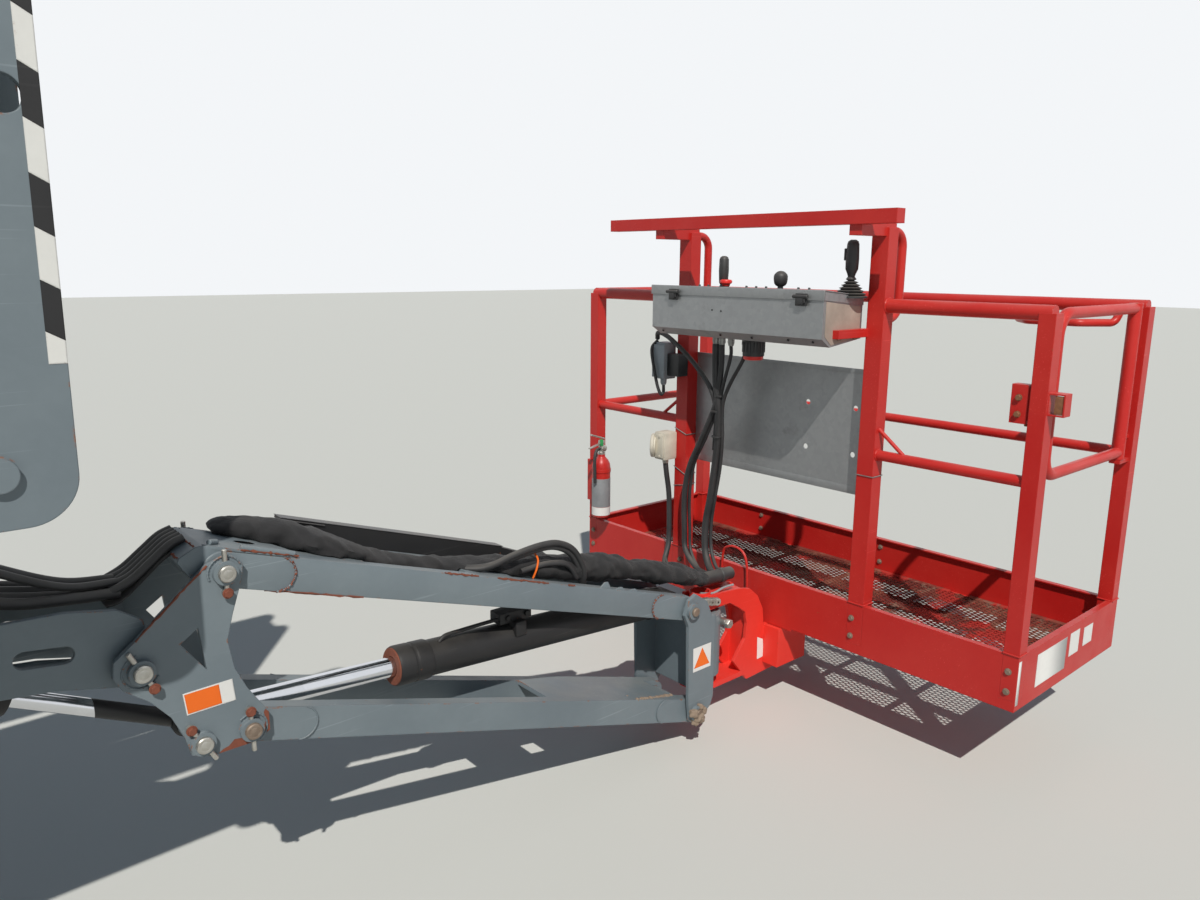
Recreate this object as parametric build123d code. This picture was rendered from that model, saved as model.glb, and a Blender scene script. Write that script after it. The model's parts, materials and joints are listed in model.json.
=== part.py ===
from build123d import *
from math import atan2, cos, degrees, hypot, radians, sin
import os

# Articulating boom lift, self-propelled, about 14 m class.
# Millimetres, +X forward to the platform, +Z up, ground at z = 0, slew axis and booms on y = 0.

# Overall length
TAIL = 1400
REACH = 5300
SLEW_X = (TAIL - REACH) / 2

# Chassis, axles and wheels
WHEELBASE = 1980
AXLE_Z = 400
TYRE_R = 400
TYRE_HALF = 145
TYRE_BORE = 215
WHEEL_Y = 920
KINGPIN_Y = 700
FRAME_HALF = 400
FRAME_LOW = 430
FRAME_TOP = 740
FRAME_LENGTH = 2300
DISC_Y = 940
DISC_T = 12
DRUM_R = 105
SPINDLE_R = 45

# Turntable
DECK_LOW = 880
DECK_TOP = 920
DECK_HALF = 1000
DECK_FRONT = SLEW_X + 1100
WEIGHT_T = 250
WEIGHT_X = SLEW_X - TAIL
HOOD_IN = 470
HOOD_TOP = 1550
HOOD_SKIN = 6

# Lanes across the machine, as distances from the middle
BOOM_HALF = 101
BOOM_PLATE = (125, 141)
RAM_LANE = 203
INNER_PLATE = (265, 279)
ARM_LANE = (290, 410)
OUTER_PLATE = (420, 436)

# Riser pins in side view
LOWER_FOOT = (SLEW_X - 820, 1100)
LOWER_HEAD = (SLEW_X + 2374, 1227)
TIE_STEP = (-150, 200)
UPPER_FOOT = (SLEW_X + 2400, 1900)
UPPER_HEAD = (SLEW_X - 790, 1930)
UPPER_TIE_STEP = (-150, -200)
ARM_DEPTH = 120
TIE_DEPTH = 80
RISER_PIN = 25
RAM_ON_LOWER = 1300
RAM_ON_UPPER = 350

# Platform
PLATFORM_W = 1830
PLATFORM_D = 700
FLOOR_Z = 300
RAIL_TOP = 1425
MID_RAIL_Z = 952
KICK_H = 165
POST = 45
TOP_RAIL_R = 21
MID_RAIL_R = 16
BACK = SLEW_X + REACH - PLATFORM_D
FRONT = SLEW_X + REACH
TALL_POST_Y = 393
TALL_POST_TOP = 1630
ROTATOR_X = BACK - 300

# Jib, a parallelogram of two arms
JIB_LENGTH = 1436
JIB_SLOPE = -17.6
JIB_DEPTH = 75
JIB_ARM = (65, 102)
DOUBLER_T = 3
JIB_PLATE = (112, 124)
JIB_PIN = 20

# Boom
BOOM_DEPTH = 210
FLY_DEPTH = 170
FLY_HALF = 85
BOOM_WALL = 8
BASE_SETBACK = 950
FLY_OVERLAP = 140
TIP_PLATE = (85, 97)
PIVOT_PIN = 35

GAP = 0.5


def box(x0, x1, y0, y1, z0, z1):
    place = Pos((x0 + x1) / 2, (y0 + y1) / 2, (z0 + z1) / 2)
    return place * Box(abs(x1 - x0), abs(y1 - y0), abs(z1 - z0))


def across(point, radius, y0, y1):
    return Pos(point[0], (y0 + y1) / 2, point[1]) * Rot(90, 0, 0) * Cylinder(radius, abs(y1 - y0))


def upright_bar(x, y, radius, z0, z1):
    return Pos(x, y, (z0 + z1) / 2) * Cylinder(radius, z1 - z0)


def plate(outline, y0, y1, radius=0):
    points = [(x, 0, z) for x, z in outline]
    if radius:
        edge = FilletPolyline(*points, radius=radius, close=True)
    else:
        edge = Polyline(*points, close=True)
    return Pos(0, y0, 0) * extrude(make_face(edge), y1 - y0, dir=(0, 1, 0))


def member(a, b, depth, y0, y1, before=0, after=0):
    length = hypot(b[0] - a[0], b[1] - a[1])
    slope = degrees(atan2(b[1] - a[1], b[0] - a[0]))
    bar = box(-before, length + after, y0, y1, -depth / 2, depth / 2)
    return Pos(a[0], 0, a[1]) * Rot(0, -slope, 0) * bar


def both(shape):
    return shape + mirror(shape, about=Plane.XZ)


def tube(points, radius, bend=0):
    if bend:
        path = FilletPolyline(*points, radius=bend)
    else:
        path = Polyline(*points)
    return sweep(Plane(origin=path @ 0, z_dir=path % 0) * Circle(radius), path=path)


def shift(point, step):
    return (point[0] + step[0], point[1] + step[1])


def between(a, b, distance):
    length = hypot(b[0] - a[0], b[1] - a[1])
    return (a[0] + (b[0] - a[0]) * distance / length, a[1] + (b[1] - a[1]) * distance / length)


def save(shape, name):
    export_step(shape, "parts/" + name + ".step")


os.makedirs("parts", exist_ok=True)

# Chassis
frame_half_x = FRAME_LENGTH / 2
chassis = plate(
    [
        (SLEW_X - frame_half_x, FRAME_LOW + 60),
        (SLEW_X - frame_half_x + 80, FRAME_LOW),
        (SLEW_X + frame_half_x - 80, FRAME_LOW),
        (SLEW_X + frame_half_x, FRAME_LOW + 60),
        (SLEW_X + frame_half_x, FRAME_TOP - 90),
        (SLEW_X + 620, FRAME_TOP),
        (SLEW_X - 620, FRAME_TOP),
        (SLEW_X - frame_half_x, FRAME_TOP - 90),
    ],
    -FRAME_HALF,
    FRAME_HALF,
)
LUG_HOLE = 22
for side in (-1, 1):
    for end in (-1, 1):
        x = SLEW_X + end * (frame_half_x + 20)
        lug = box(x - 60, x + 60, side * 280 - 55, side * 280 + 55, FRAME_LOW + 118, FRAME_LOW + 142)
        hole = upright_bar(x + end * 25, side * 280, LUG_HOLE, FRAME_LOW + 100, FRAME_LOW + 160)
        chassis = chassis + lug - hole
save(chassis, "chassis_frame")

BEARING_R = 430
bearing = Pos(SLEW_X, 0, FRAME_TOP + 30) * Cylinder(BEARING_R, 60)
save(bearing, "slew_bearing")

# Axles
FRONT_AXLE = SLEW_X + WHEELBASE / 2
REAR_AXLE = SLEW_X - WHEELBASE / 2
BOSS_R = 48
KINGPIN_R = 22
beam = box(FRONT_AXLE - 60, FRONT_AXLE + 60, -KINGPIN_Y + 30, KINGPIN_Y - 30, FRAME_LOW - 90, FRAME_LOW)
for side in (-1, 1):
    beam += upright_bar(FRONT_AXLE, side * KINGPIN_Y, BOSS_R, AXLE_Z - 65, AXLE_Z + 65)
    beam -= upright_bar(FRONT_AXLE, side * KINGPIN_Y, KINGPIN_R + GAP, AXLE_Z - 90, AXLE_Z + 90)
save(beam, "front_axle")

rear = box(REAR_AXLE - 60, REAR_AXLE + 60, -775, 775, FRAME_LOW - 90, FRAME_LOW)
rear += both(across((REAR_AXLE, AXLE_Z), DRUM_R, 775, DISC_Y - 7))
rear += both(across((REAR_AXLE, AXLE_Z), SPINDLE_R, 900, DISC_Y + 45))
save(rear, "rear_axle")

# Steering knuckles and the link between them
ARM_X = FRONT_AXLE - 150
knuckle = box(FRONT_AXLE - 60, FRONT_AXLE + 60, 755, 775, AXLE_Z - 100, AXLE_Z + 100)
for z in (AXLE_Z - 100, AXLE_Z + 75):
    knuckle += box(FRONT_AXLE - 40, FRONT_AXLE + 40, 665, 770, z, z + 25)
knuckle += upright_bar(FRONT_AXLE, KINGPIN_Y, KINGPIN_R, AXLE_Z - 104, AXLE_Z + 104)
knuckle += box(ARM_X - 25, FRONT_AXLE - 30, 680, 720, AXLE_Z - 100, AXLE_Z - 75)
knuckle += across((FRONT_AXLE, AXLE_Z), DRUM_R, 770, DISC_Y - 7)
knuckle += across((FRONT_AXLE, AXLE_Z), SPINDLE_R, 900, DISC_Y + 45)
save(knuckle, "steering_knuckle_left")
save(mirror(knuckle, about=Plane.XZ), "steering_knuckle_right")

LINK_Z = AXLE_Z - 114 - GAP
link = box(ARM_X - 14, ARM_X + 14, -KINGPIN_Y - 20, KINGPIN_Y + 20, LINK_Z - 14, LINK_Z + 14)
save(link, "steering_link")

# Wheels, rings of flat sides about the axle line, with lugs out to the tyre's full size
SIDES = 24
CARCASS_R = TYRE_R - 22
# distance along the axle, radius
TYRE_PROFILE = [(-TYRE_HALF + 25, 250), (-TYRE_HALF + 6, 330), (-108, CARCASS_R - 6), (0, CARCASS_R)]
RIM_PROFILE = [
    (-120, TYRE_BORE),
    (-120, TYRE_BORE - 13),
    (DISC_Y - WHEEL_Y, TYRE_BORE - 13),
    (DISC_Y - WHEEL_Y, SPINDLE_R + GAP),
    (DISC_Y - WHEEL_Y + DISC_T, SPINDLE_R + GAP),
    (DISC_Y - WHEEL_Y + DISC_T, 190),
    (120, TYRE_BORE - 13),
    (120, TYRE_BORE),
]
LUGS = 12
LUG_W = 50
LUG_TILT = 24


def ring(y, radius):
    return Plane(origin=(0, y, 0), z_dir=(0, -1, 0)) * RegularPolygon(radius, SIDES)


tyre = loft([ring(y, r) for y, r in TYRE_PROFILE] + [ring(-y, r) for y, r in TYRE_PROFILE[-2::-1]], ruled=True)
for lug in range(2 * LUGS):
    side = 1 if lug % 2 else -1
    block = Pos(0, side * 74, CARCASS_R - 30) * Rot(0, 0, side * LUG_TILT) * box(-LUG_W / 2, LUG_W / 2, -66, 66, 0, 52)
    block &= box(-150, 150, min(0, side * TYRE_HALF), max(0, side * TYRE_HALF), 0, TYRE_R)
    tyre += Rot(0, lug * 180 / LUGS, 0) * block
bore_corner = TYRE_BORE / cos(radians(180 / SIDES))
tyre -= extrude(ring(TYRE_HALF + 5, bore_corner), 2 * TYRE_HALF + 10)
rim_edge = Polyline(*[(0, y, r) for y, r in RIM_PROFILE], close=True)
rim = revolve(make_face(rim_edge), axis=Axis.Y)
WHEELS = [
    ("front_left", FRONT_AXLE, 1),
    ("front_right", FRONT_AXLE, -1),
    ("rear_left", REAR_AXLE, 1),
    ("rear_right", REAR_AXLE, -1),
]
for name, x, side in WHEELS:
    for part, shape in (("tyre_", tyre), ("wheel_rim_", rim)):
        placed = Pos(x, WHEEL_Y, AXLE_Z) * shape
        if side < 0:
            placed = mirror(placed, about=Plane.XZ)
        save(placed, part + name)

# Turntable with the riser's foot plates
LOWER_TIE_FOOT = shift(LOWER_FOOT, TIE_STEP)
turntable = box(WEIGHT_X + WEIGHT_T, DECK_FRONT, -DECK_HALF, DECK_HALF, DECK_LOW, DECK_TOP)
turntable += Pos(SLEW_X, 0, (FRAME_TOP + 60 + GAP + DECK_LOW) / 2) * Cylinder(400, DECK_LOW - FRAME_TOP - 60 - GAP)
turntable += box(DECK_FRONT - 30, DECK_FRONT, -740, -680, DECK_TOP - 5, DECK_TOP + 130)
save(turntable, "turntable")

# Frames that carry the hoods' hinge bars
RAIL_IN = 452
HINGE_R = 9
HINGE = (HOOD_IN + 2, HOOD_TOP + 2)
hood_back = WEIGHT_X + WEIGHT_T
rail = box(hood_back, DECK_FRONT - 70, RAIL_IN, HOOD_IN - GAP, HOOD_TOP - 40, HOOD_TOP - 16)
for x in (hood_back, SLEW_X, DECK_FRONT - 100):
    rail += box(x, x + 30, RAIL_IN, HOOD_IN - GAP, DECK_TOP, HOOD_TOP - 20)
hinge_bar = Pos(SLEW_X, HINGE[0], HINGE[1]) * Rot(0, 90, 0) * Cylinder(HINGE_R, 1600)
for x in (SLEW_X - 780, SLEW_X, SLEW_X + 750):
    rail += box(x, x + 30, RAIL_IN, HINGE[0], HOOD_TOP - 20, HINGE[1] + 5)
rail += hinge_bar
save(both(rail), "hood_hinge_frames")

# Brackets at the riser's foot
FOOT_PLATE = [
    (SLEW_X - 1060, DECK_TOP),
    (SLEW_X - 620, DECK_TOP),
    (SLEW_X - 740, 1165),
    (SLEW_X - 900, 1370),
    (SLEW_X - 1045, 1370),
    (SLEW_X - 1075, 1240),
]
foot = plate(FOOT_PLATE, INNER_PLATE[0], INNER_PLATE[1]) + plate(FOOT_PLATE, OUTER_PLATE[0], OUTER_PLATE[1])
for pin in (LOWER_FOOT, LOWER_TIE_FOOT):
    foot += across(pin, RISER_PIN, INNER_PLATE[0], OUTER_PLATE[1])
save(both(foot), "riser_foot_brackets")

WEIGHT_TOP = 1560
weight = plate(
    [
        (WEIGHT_X, 940),
        (WEIGHT_X + 60, DECK_LOW - 20),
        (WEIGHT_X + WEIGHT_T, DECK_LOW - 20),
        (WEIGHT_X + WEIGHT_T, WEIGHT_TOP),
        (WEIGHT_X + 90, WEIGHT_TOP),
        (WEIGHT_X, WEIGHT_TOP - 120),
    ],
    -DECK_HALF,
    DECK_HALF,
)
save(weight, "counterweight")

save(box(SLEW_X - 900, SLEW_X - 100, HOOD_IN + 50, DECK_HALF - 70, DECK_TOP, HOOD_TOP - 110), "engine_block")
save(box(SLEW_X - 900, SLEW_X + 300, 70 - DECK_HALF, -HOOD_IN - 90, DECK_TOP, HOOD_TOP - 170), "hydraulic_tank")
save(box(DECK_FRONT - 60, DECK_FRONT + 40, -860, -560, DECK_TOP + 130, DECK_TOP + 480), "ground_control_box")

# Hoods, hinged along the inner top edge
HOOD_BACK = WEIGHT_X + WEIGHT_T + 8
HOOD_FRONT = DECK_FRONT - 70
HOOD_SIDE = [
    (HOOD_IN, HOOD_TOP),
    (HOOD_IN, HOOD_TOP - HOOD_SKIN),
    (DECK_HALF - 110, HOOD_TOP - HOOD_SKIN),
    (DECK_HALF - HOOD_SKIN, HOOD_TOP - 110),
    (DECK_HALF - HOOD_SKIN, DECK_TOP + 6),
    (DECK_HALF, DECK_TOP + 6),
    (DECK_HALF, HOOD_TOP - 108),
    (DECK_HALF - 108, HOOD_TOP),
]
HOOD_END = [
    (HOOD_IN, HOOD_TOP),
    (HOOD_IN, DECK_TOP + 6),
    (DECK_HALF, DECK_TOP + 6),
    (DECK_HALF, HOOD_TOP - 108),
    (DECK_HALF - 108, HOOD_TOP),
]


def section(outline, x0, x1):
    edge = Polyline(*[(x0, y, z) for y, z in outline], close=True)
    return extrude(make_face(edge), x1 - x0, dir=(1, 0, 0))


hood = section(HOOD_SIDE, HOOD_BACK, HOOD_FRONT)
hood += section(HOOD_END, HOOD_BACK, HOOD_BACK + HOOD_SKIN)
hood += section(HOOD_END, HOOD_FRONT - HOOD_SKIN, HOOD_FRONT)
for x in (SLEW_X - 700, SLEW_X - 60, SLEW_X + 630):
    hood += Pos(x, HINGE[0], HINGE[1]) * Rot(0, 90, 0) * Cylinder(HINGE_R + 5, 60)
hood -= Pos(SLEW_X, HINGE[0], HINGE[1]) * Rot(0, 90, 0) * Cylinder(HINGE_R + GAP, 1700)
for x in (SLEW_X - 780, SLEW_X, SLEW_X + 750):
    hood -= box(x - 5, x + 35, HOOD_IN - 5, HINGE[0] + 16, HOOD_TOP - 24, HINGE[1] + 20)
LOUVRES = 7
for n in range(LOUVRES):
    for x in (SLEW_X - 640, SLEW_X + 120):
        z = HOOD_TOP - 190 - n * 34
        hood -= box(x, x + 420, DECK_HALF - HOOD_SKIN - 5, DECK_HALF + 5, z, z + 14)
save(hood, "engine_hood")
save(mirror(hood, about=Plane.XZ), "tank_hood")


# Riser arms and ties, with an eye at each end
def arm(a, b, depth, pin):
    length = hypot(b[0] - a[0], b[1] - a[1])
    bar = member(a, b, depth, ARM_LANE[0], ARM_LANE[1])
    for end in (a, b):
        bar += across(end, depth / 2, ARM_LANE[0], ARM_LANE[1])
    for end in (a, b):
        bar -= across(end, pin + GAP, ARM_LANE[0] - 5, ARM_LANE[1] + 5)
    return bar


LOWER_TIE_HEAD = shift(LOWER_HEAD, TIE_STEP)
UPPER_TIE_FOOT = shift(UPPER_FOOT, UPPER_TIE_STEP)
UPPER_TIE_HEAD = shift(UPPER_HEAD, UPPER_TIE_STEP)
RAM_FOOT = between(LOWER_HEAD, LOWER_FOOT, RAM_ON_LOWER)
RAM_HEAD = between(UPPER_FOOT, UPPER_HEAD, RAM_ON_UPPER)
RAM_PIN = 20
CROSS_AT = between(LOWER_FOOT, LOWER_HEAD, 700)
lower = both(arm(LOWER_FOOT, LOWER_HEAD, ARM_DEPTH, RISER_PIN))
lower += both(across(RAM_FOOT, RAM_PIN, RAM_LANE - 48, ARM_LANE[0] + 5))
lower += across(CROSS_AT, 40, -ARM_LANE[0] - 5, ARM_LANE[0] + 5)
save(lower, "riser_lower_arms")
save(both(arm(LOWER_TIE_FOOT, LOWER_TIE_HEAD, TIE_DEPTH, RISER_PIN)), "riser_lower_ties")

upper = both(arm(UPPER_FOOT, UPPER_HEAD, ARM_DEPTH, RISER_PIN))
upper += both(across(RAM_HEAD, RAM_PIN, RAM_LANE + 34, ARM_LANE[0] + 5))
save(upper, "riser_upper_arms")
save(both(arm(UPPER_TIE_FOOT, UPPER_TIE_HEAD, TIE_DEPTH, RISER_PIN)), "riser_upper_ties")

# Links between the lower and the upper arms
LINK_FRONT = LOWER_HEAD[0] + 100
LINK_LOW = LOWER_HEAD[1] - 81
LINK_TOP = UPPER_FOOT[1] + 95
LINK_PLATE = [
    (LINK_FRONT - 2, LINK_LOW),
    (LINK_FRONT + 6, LINK_TOP),
    (LINK_FRONT - 310, LINK_TOP),
    (LINK_FRONT - 330, LINK_TOP - 200),
    (LINK_FRONT - 330, LINK_LOW + 190),
    (LINK_FRONT - 200, LINK_LOW),
]
SIGHT_HOLE = (LOWER_HEAD[0] + 57, LOWER_HEAD[1] + 510)
mid = plate(LINK_PLATE, INNER_PLATE[0], INNER_PLATE[1], radius=70)
mid += plate(LINK_PLATE, OUTER_PLATE[0], OUTER_PLATE[1], radius=70)
mid -= across(SIGHT_HOLE, 26, OUTER_PLATE[0] - 5, OUTER_PLATE[1] + 5)
for pin in (LOWER_HEAD, LOWER_TIE_HEAD, UPPER_FOOT, UPPER_TIE_FOOT):
    mid += across(pin, RISER_PIN, INNER_PLATE[0], OUTER_PLATE[1] + 10)
save(both(mid), "riser_mid_links")


# Cylinders: a barrel pinned at its foot and a rod pinned at its head
def ram_barrel(a, b, length, radius, rod, eye, pin, lane=0):
    slope = degrees(atan2(b[1] - a[1], b[0] - a[0]))
    body = Pos(length / 2 + eye / 2, 0, 0) * Rot(0, 90, 0) * Cylinder(radius, length - eye)
    body += Pos(eye, 0, 0) * Box(2 * eye, 2 * eye - 8, 2 * eye)
    body += Rot(90, 0, 0) * Cylinder(eye, 2 * eye - 8)
    body -= Rot(90, 0, 0) * Cylinder(pin + GAP, 4 * eye)
    body -= Pos((length + 2 * eye) / 2 + 15, 0, 0) * Rot(0, 90, 0) * Cylinder(rod + 1, length - 2 * eye + 30)
    return Pos(a[0], lane, a[1]) * Rot(0, -slope, 0) * body


def ram_rod(a, b, start, rod, eye, lane=0):
    reach = hypot(b[0] - a[0], b[1] - a[1])
    slope = degrees(atan2(b[1] - a[1], b[0] - a[0]))
    body = Pos((start + reach) / 2 - eye / 4, 0, 0) * Rot(0, 90, 0) * Cylinder(rod, reach - start - eye / 2)
    body += Pos(reach, 0, 0) * Rot(90, 0, 0) * Cylinder(eye, 2 * eye - 8)
    return Pos(a[0], lane, a[1]) * Rot(0, -slope, 0) * body


RISER_BARREL = 1090
save(both(ram_barrel(RAM_FOOT, RAM_HEAD, RISER_BARREL, 40, 25, 32, RAM_PIN, RAM_LANE)), "riser_cylinder_barrels")
save(both(ram_rod(RAM_FOOT, RAM_HEAD, 100, 25, 32, RAM_LANE)), "riser_cylinder_rods")

# Upright between the riser and the boom
BOOM_PIVOT = (SLEW_X - 1050, 1880)
LIFT_FOOT = (SLEW_X - 810, 1480)
LIFT_PIN = 22
BACK_PLATE = SLEW_X - 1250
UPRIGHT_SIDE = [
    (BACK_PLATE, 1665),
    (UPPER_TIE_HEAD[0] + 20, 1665),
    (UPPER_HEAD[0] + 55, 1850),
    (UPPER_HEAD[0] + 70, 1960),
    (UPPER_HEAD[0] + 10, 2015),
    (BACK_PLATE, 2015),
]
UPRIGHT_CENTRE = [
    (BACK_PLATE, 1665),
    (BOOM_PIVOT[0] + 10, 1640),
    (LIFT_FOOT[0] - 90, LIFT_FOOT[1] - 60),
    (LIFT_FOOT[0] + 60, LIFT_FOOT[1] - 60),
    (LIFT_FOOT[0] + 75, LIFT_FOOT[1] + 30),
    (BOOM_PIVOT[0] + 110, 1800),
    (BOOM_PIVOT[0] + 90, 1970),
    (BACK_PLATE, 2015),
]
upright = box(BACK_PLATE - 20, BACK_PLATE, -OUTER_PLATE[1], OUTER_PLATE[1], 1665, 2015)
for lane in (INNER_PLATE, OUTER_PLATE):
    upright += both(plate(UPRIGHT_SIDE, lane[0], lane[1]))
upright += both(plate(UPRIGHT_CENTRE, BOOM_PLATE[0], BOOM_PLATE[1]))
for pin in (UPPER_HEAD, UPPER_TIE_HEAD):
    upright += both(across(pin, RISER_PIN, INNER_PLATE[0], OUTER_PLATE[1]))
upright += across(BOOM_PIVOT, PIVOT_PIN, -BOOM_PLATE[1], BOOM_PLATE[1])
upright += across(LIFT_FOOT, LIFT_PIN, -BOOM_PLATE[1], BOOM_PLATE[1])
save(upright, "upright")

# Jib pins in side view
HEAD_TOP_PIN = (BACK - 468, 480)
jib_run = (JIB_LENGTH * cos(radians(JIB_SLOPE)), JIB_LENGTH * sin(radians(JIB_SLOPE)))
BRACKET_TOP_PIN = (HEAD_TOP_PIN[0] - jib_run[0], HEAD_TOP_PIN[1] - jib_run[1])
LINK_STEP = (28, -350)
HEAD_LOW_PIN = shift(HEAD_TOP_PIN, LINK_STEP)
BRACKET_LOW_PIN = shift(BRACKET_TOP_PIN, LINK_STEP)
TIP_PIN = shift(BRACKET_TOP_PIN, (-168, -162))
LEVEL_PIN = shift(BRACKET_TOP_PIN, (-70, -346))

# Boom, set out back from its tip along its own slope
TIP = shift(TIP_PIN, (0, 30))
ROOT = shift(BOOM_PIVOT, (0, -52))
boom_length = hypot(TIP[0] - ROOT[0], TIP[1] - ROOT[1])
boom_slope = atan2(TIP[1] - ROOT[1], TIP[0] - ROOT[0])


def on_boom(u, v):
    x = TIP[0] + u * cos(boom_slope) - v * sin(boom_slope)
    return (x, TIP[1] + u * sin(boom_slope) + v * cos(boom_slope))


def boom_box(u0, u1, half, low, high):
    bar = box(u0, u1, -half, half, low, high)
    return Pos(TIP[0], 0, TIP[1]) * Rot(0, -degrees(boom_slope), 0) * bar


half_depth = BOOM_DEPTH / 2
base_back = -boom_length - 60
base = boom_box(base_back, -BASE_SETBACK, BOOM_HALF, -half_depth, half_depth)
base -= boom_box(
    base_back + 12,
    -BASE_SETBACK + 10,
    BOOM_HALF - BOOM_WALL,
    -half_depth + BOOM_WALL,
    half_depth - BOOM_WALL,
)
base += across(BOOM_PIVOT, 62, -BOOM_HALF, BOOM_HALF)
base -= across(BOOM_PIVOT, PIVOT_PIN + GAP, -BOOM_HALF - 5, BOOM_HALF + 5)
LIFT_HEAD = (SLEW_X - 10, 1365)
LIFT_LUG = [
    (LIFT_HEAD[0] - 200, 1470),
    (LIFT_HEAD[0] - 45, LIFT_HEAD[1] - 20),
    (LIFT_HEAD[0], LIFT_HEAD[1] - 45),
    (LIFT_HEAD[0] + 45, LIFT_HEAD[1] - 20),
    (LIFT_HEAD[0] + 120, 1390),
    (LIFT_HEAD[0] + 60, 1410),
    (LIFT_HEAD[0] - 60, 1445),
]
PAD = (-BASE_SETBACK - 160, -BASE_SETBACK - 5)
pad_out = half_depth - BOOM_WALL
collar = boom_box(PAD[0], PAD[1], BOOM_HALF - BOOM_WALL, -pad_out, pad_out)
collar -= boom_box(PAD[0] - 5, PAD[1] + 5, FLY_HALF + 1, -FLY_DEPTH / 2 - 1, FLY_DEPTH / 2 + 1)
base += collar
base += both(plate(LIFT_LUG, 54, 68))
base += both(across(LIFT_HEAD, LIFT_PIN, 38, 72))
save(base, "boom_base")

fly_half = FLY_DEPTH / 2
FLY_END = -330
SLOT_HALF = 46
fly = boom_box(-boom_length + FLY_OVERLAP, FLY_END, FLY_HALF, -fly_half, fly_half)
fly -= boom_box(
    -boom_length + FLY_OVERLAP - 10,
    FLY_END + 10,
    FLY_HALF - BOOM_WALL,
    -fly_half + BOOM_WALL,
    fly_half - BOOM_WALL,
)
fly -= boom_box(-760, FLY_END + 10, SLOT_HALF, -fly_half - 10, 0)
fly_back = -boom_length + FLY_OVERLAP
fly += boom_box(fly_back, fly_back + 120, BOOM_HALF - BOOM_WALL - 1, fly_half - 2, half_depth - BOOM_WALL - 1)
fly += boom_box(fly_back, fly_back + 120, BOOM_HALF - BOOM_WALL - 1, 1 + BOOM_WALL - half_depth, 2 - fly_half)
TIP_OUTLINE = [
    (TIP_PIN[0] - 396, TIP_PIN[1] + 238),
    (TIP_PIN[0] - 396, TIP_PIN[1] + 40),
    (TIP_PIN[0] - 227, TIP_PIN[1] + 3),
    (TIP_PIN[0] - 141, TIP_PIN[1] - 6),
    (TIP_PIN[0] - 20, TIP_PIN[1] - 36),
    (TIP_PIN[0] + 22, TIP_PIN[1] - 28),
    (TIP_PIN[0] + 34, TIP_PIN[1] + 10),
    (TIP_PIN[0] + 18, TIP_PIN[1] + 92),
    (TIP_PIN[0] - 26, TIP_PIN[1] + 122),
    (TIP_PIN[0] - 111, TIP_PIN[1] + 138),
    (TIP_PIN[0] - 225, TIP_PIN[1] + 142),
    (TIP_PIN[0] - 290, TIP_PIN[1] + 190),
]
tip_plate = plate(TIP_OUTLINE, TIP_PLATE[0], TIP_PLATE[1])
tip_plate -= across(TIP_PIN, JIB_PIN + GAP, TIP_PLATE[0] - 5, TIP_PLATE[1] + 5)
slot = member(shift(TIP_PIN, (-181, 66)), shift(TIP_PIN, (-118, 58)), 34, 60, 110)
for x, z in ((-181, 66), (-118, 58)):
    slot += across(shift(TIP_PIN, (x, z)), 17, 60, 110)
fly += both(tip_plate - slot)
LEVEL_FOOT = on_boom(-640, -34)
fly += across(LEVEL_FOOT, 12, -FLY_HALF + 2, FLY_HALF - 2)
save(fly, "boom_fly")

save(ram_barrel(LIFT_FOOT, LIFT_HEAD, 700, 46, 28, 34, LIFT_PIN), "lift_cylinder_barrel")
save(ram_rod(LIFT_FOOT, LIFT_HEAD, 110, 28, 34), "lift_cylinder_rod")
save(ram_barrel(LEVEL_FOOT, LEVEL_PIN, 470, 32, 18, 22, 12), "level_cylinder_barrel")
save(ram_rod(LEVEL_FOOT, LEVEL_PIN, 335, 18, 28), "level_cylinder_rod")

# Jib bracket on the boom's tip
BRACKET_OUTLINE = [
    (5, 32),
    (37, 11),
    (33, -19),
    (9, -91),
    (-5, -144),
    (5, -208),
    (27, -258),
    (67, -324),
    (67, -366),
    (37, -382),
    (-53, -382),
    (-91, -368),
    (-102, -324),
    (-123, -274),
    (-158, -229),
    (-203, -192),
    (-217, -164),
    (-213, -132),
    (-173, -100),
    (-86, -24),
    (-33, 21),
]
outline = [shift(BRACKET_TOP_PIN, step) for step in BRACKET_OUTLINE]
bracket = plate(outline, JIB_PLATE[0], JIB_PLATE[1])
window = [shift(BRACKET_TOP_PIN, step) for step in ((-95, -128), (-59, -103), (-49, -195))]
bracket -= plate(window, JIB_PLATE[0] - 5, JIB_PLATE[1] + 5)
for pin, inner in ((BRACKET_TOP_PIN, -1), (TIP_PIN, -1), (BRACKET_LOW_PIN, 38), (LEVEL_PIN, 32)):
    bracket += across(pin, JIB_PIN, inner, JIB_PLATE[1] + 2)
    bracket += across(pin, 25, JIB_PLATE[1] - 1, JIB_PLATE[1] + 12)
save(both(bracket), "jib_bracket")


# Jib arms, each a pair of tubes with rounded doublers at the ends
DOUBLER = 120


def jib_arm(a, b):
    bar = member(a, b, JIB_DEPTH, JIB_ARM[0], JIB_ARM[1])
    for end in (a, b):
        bar += across(end, JIB_DEPTH / 2, JIB_ARM[0], JIB_ARM[1] + DOUBLER_T)
    for near, far in ((a, between(a, b, DOUBLER)), (b, between(b, a, DOUBLER))):
        bar += member(near, far, JIB_DEPTH - 2, JIB_ARM[1], JIB_ARM[1] + DOUBLER_T)
        bar += across(far, JIB_DEPTH / 2 - 1, JIB_ARM[1], JIB_ARM[1] + DOUBLER_T)
    for end in (a, b):
        bar -= across(end, JIB_PIN + GAP, JIB_ARM[0] - 5, JIB_ARM[1] + 8)
    return both(bar)


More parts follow.
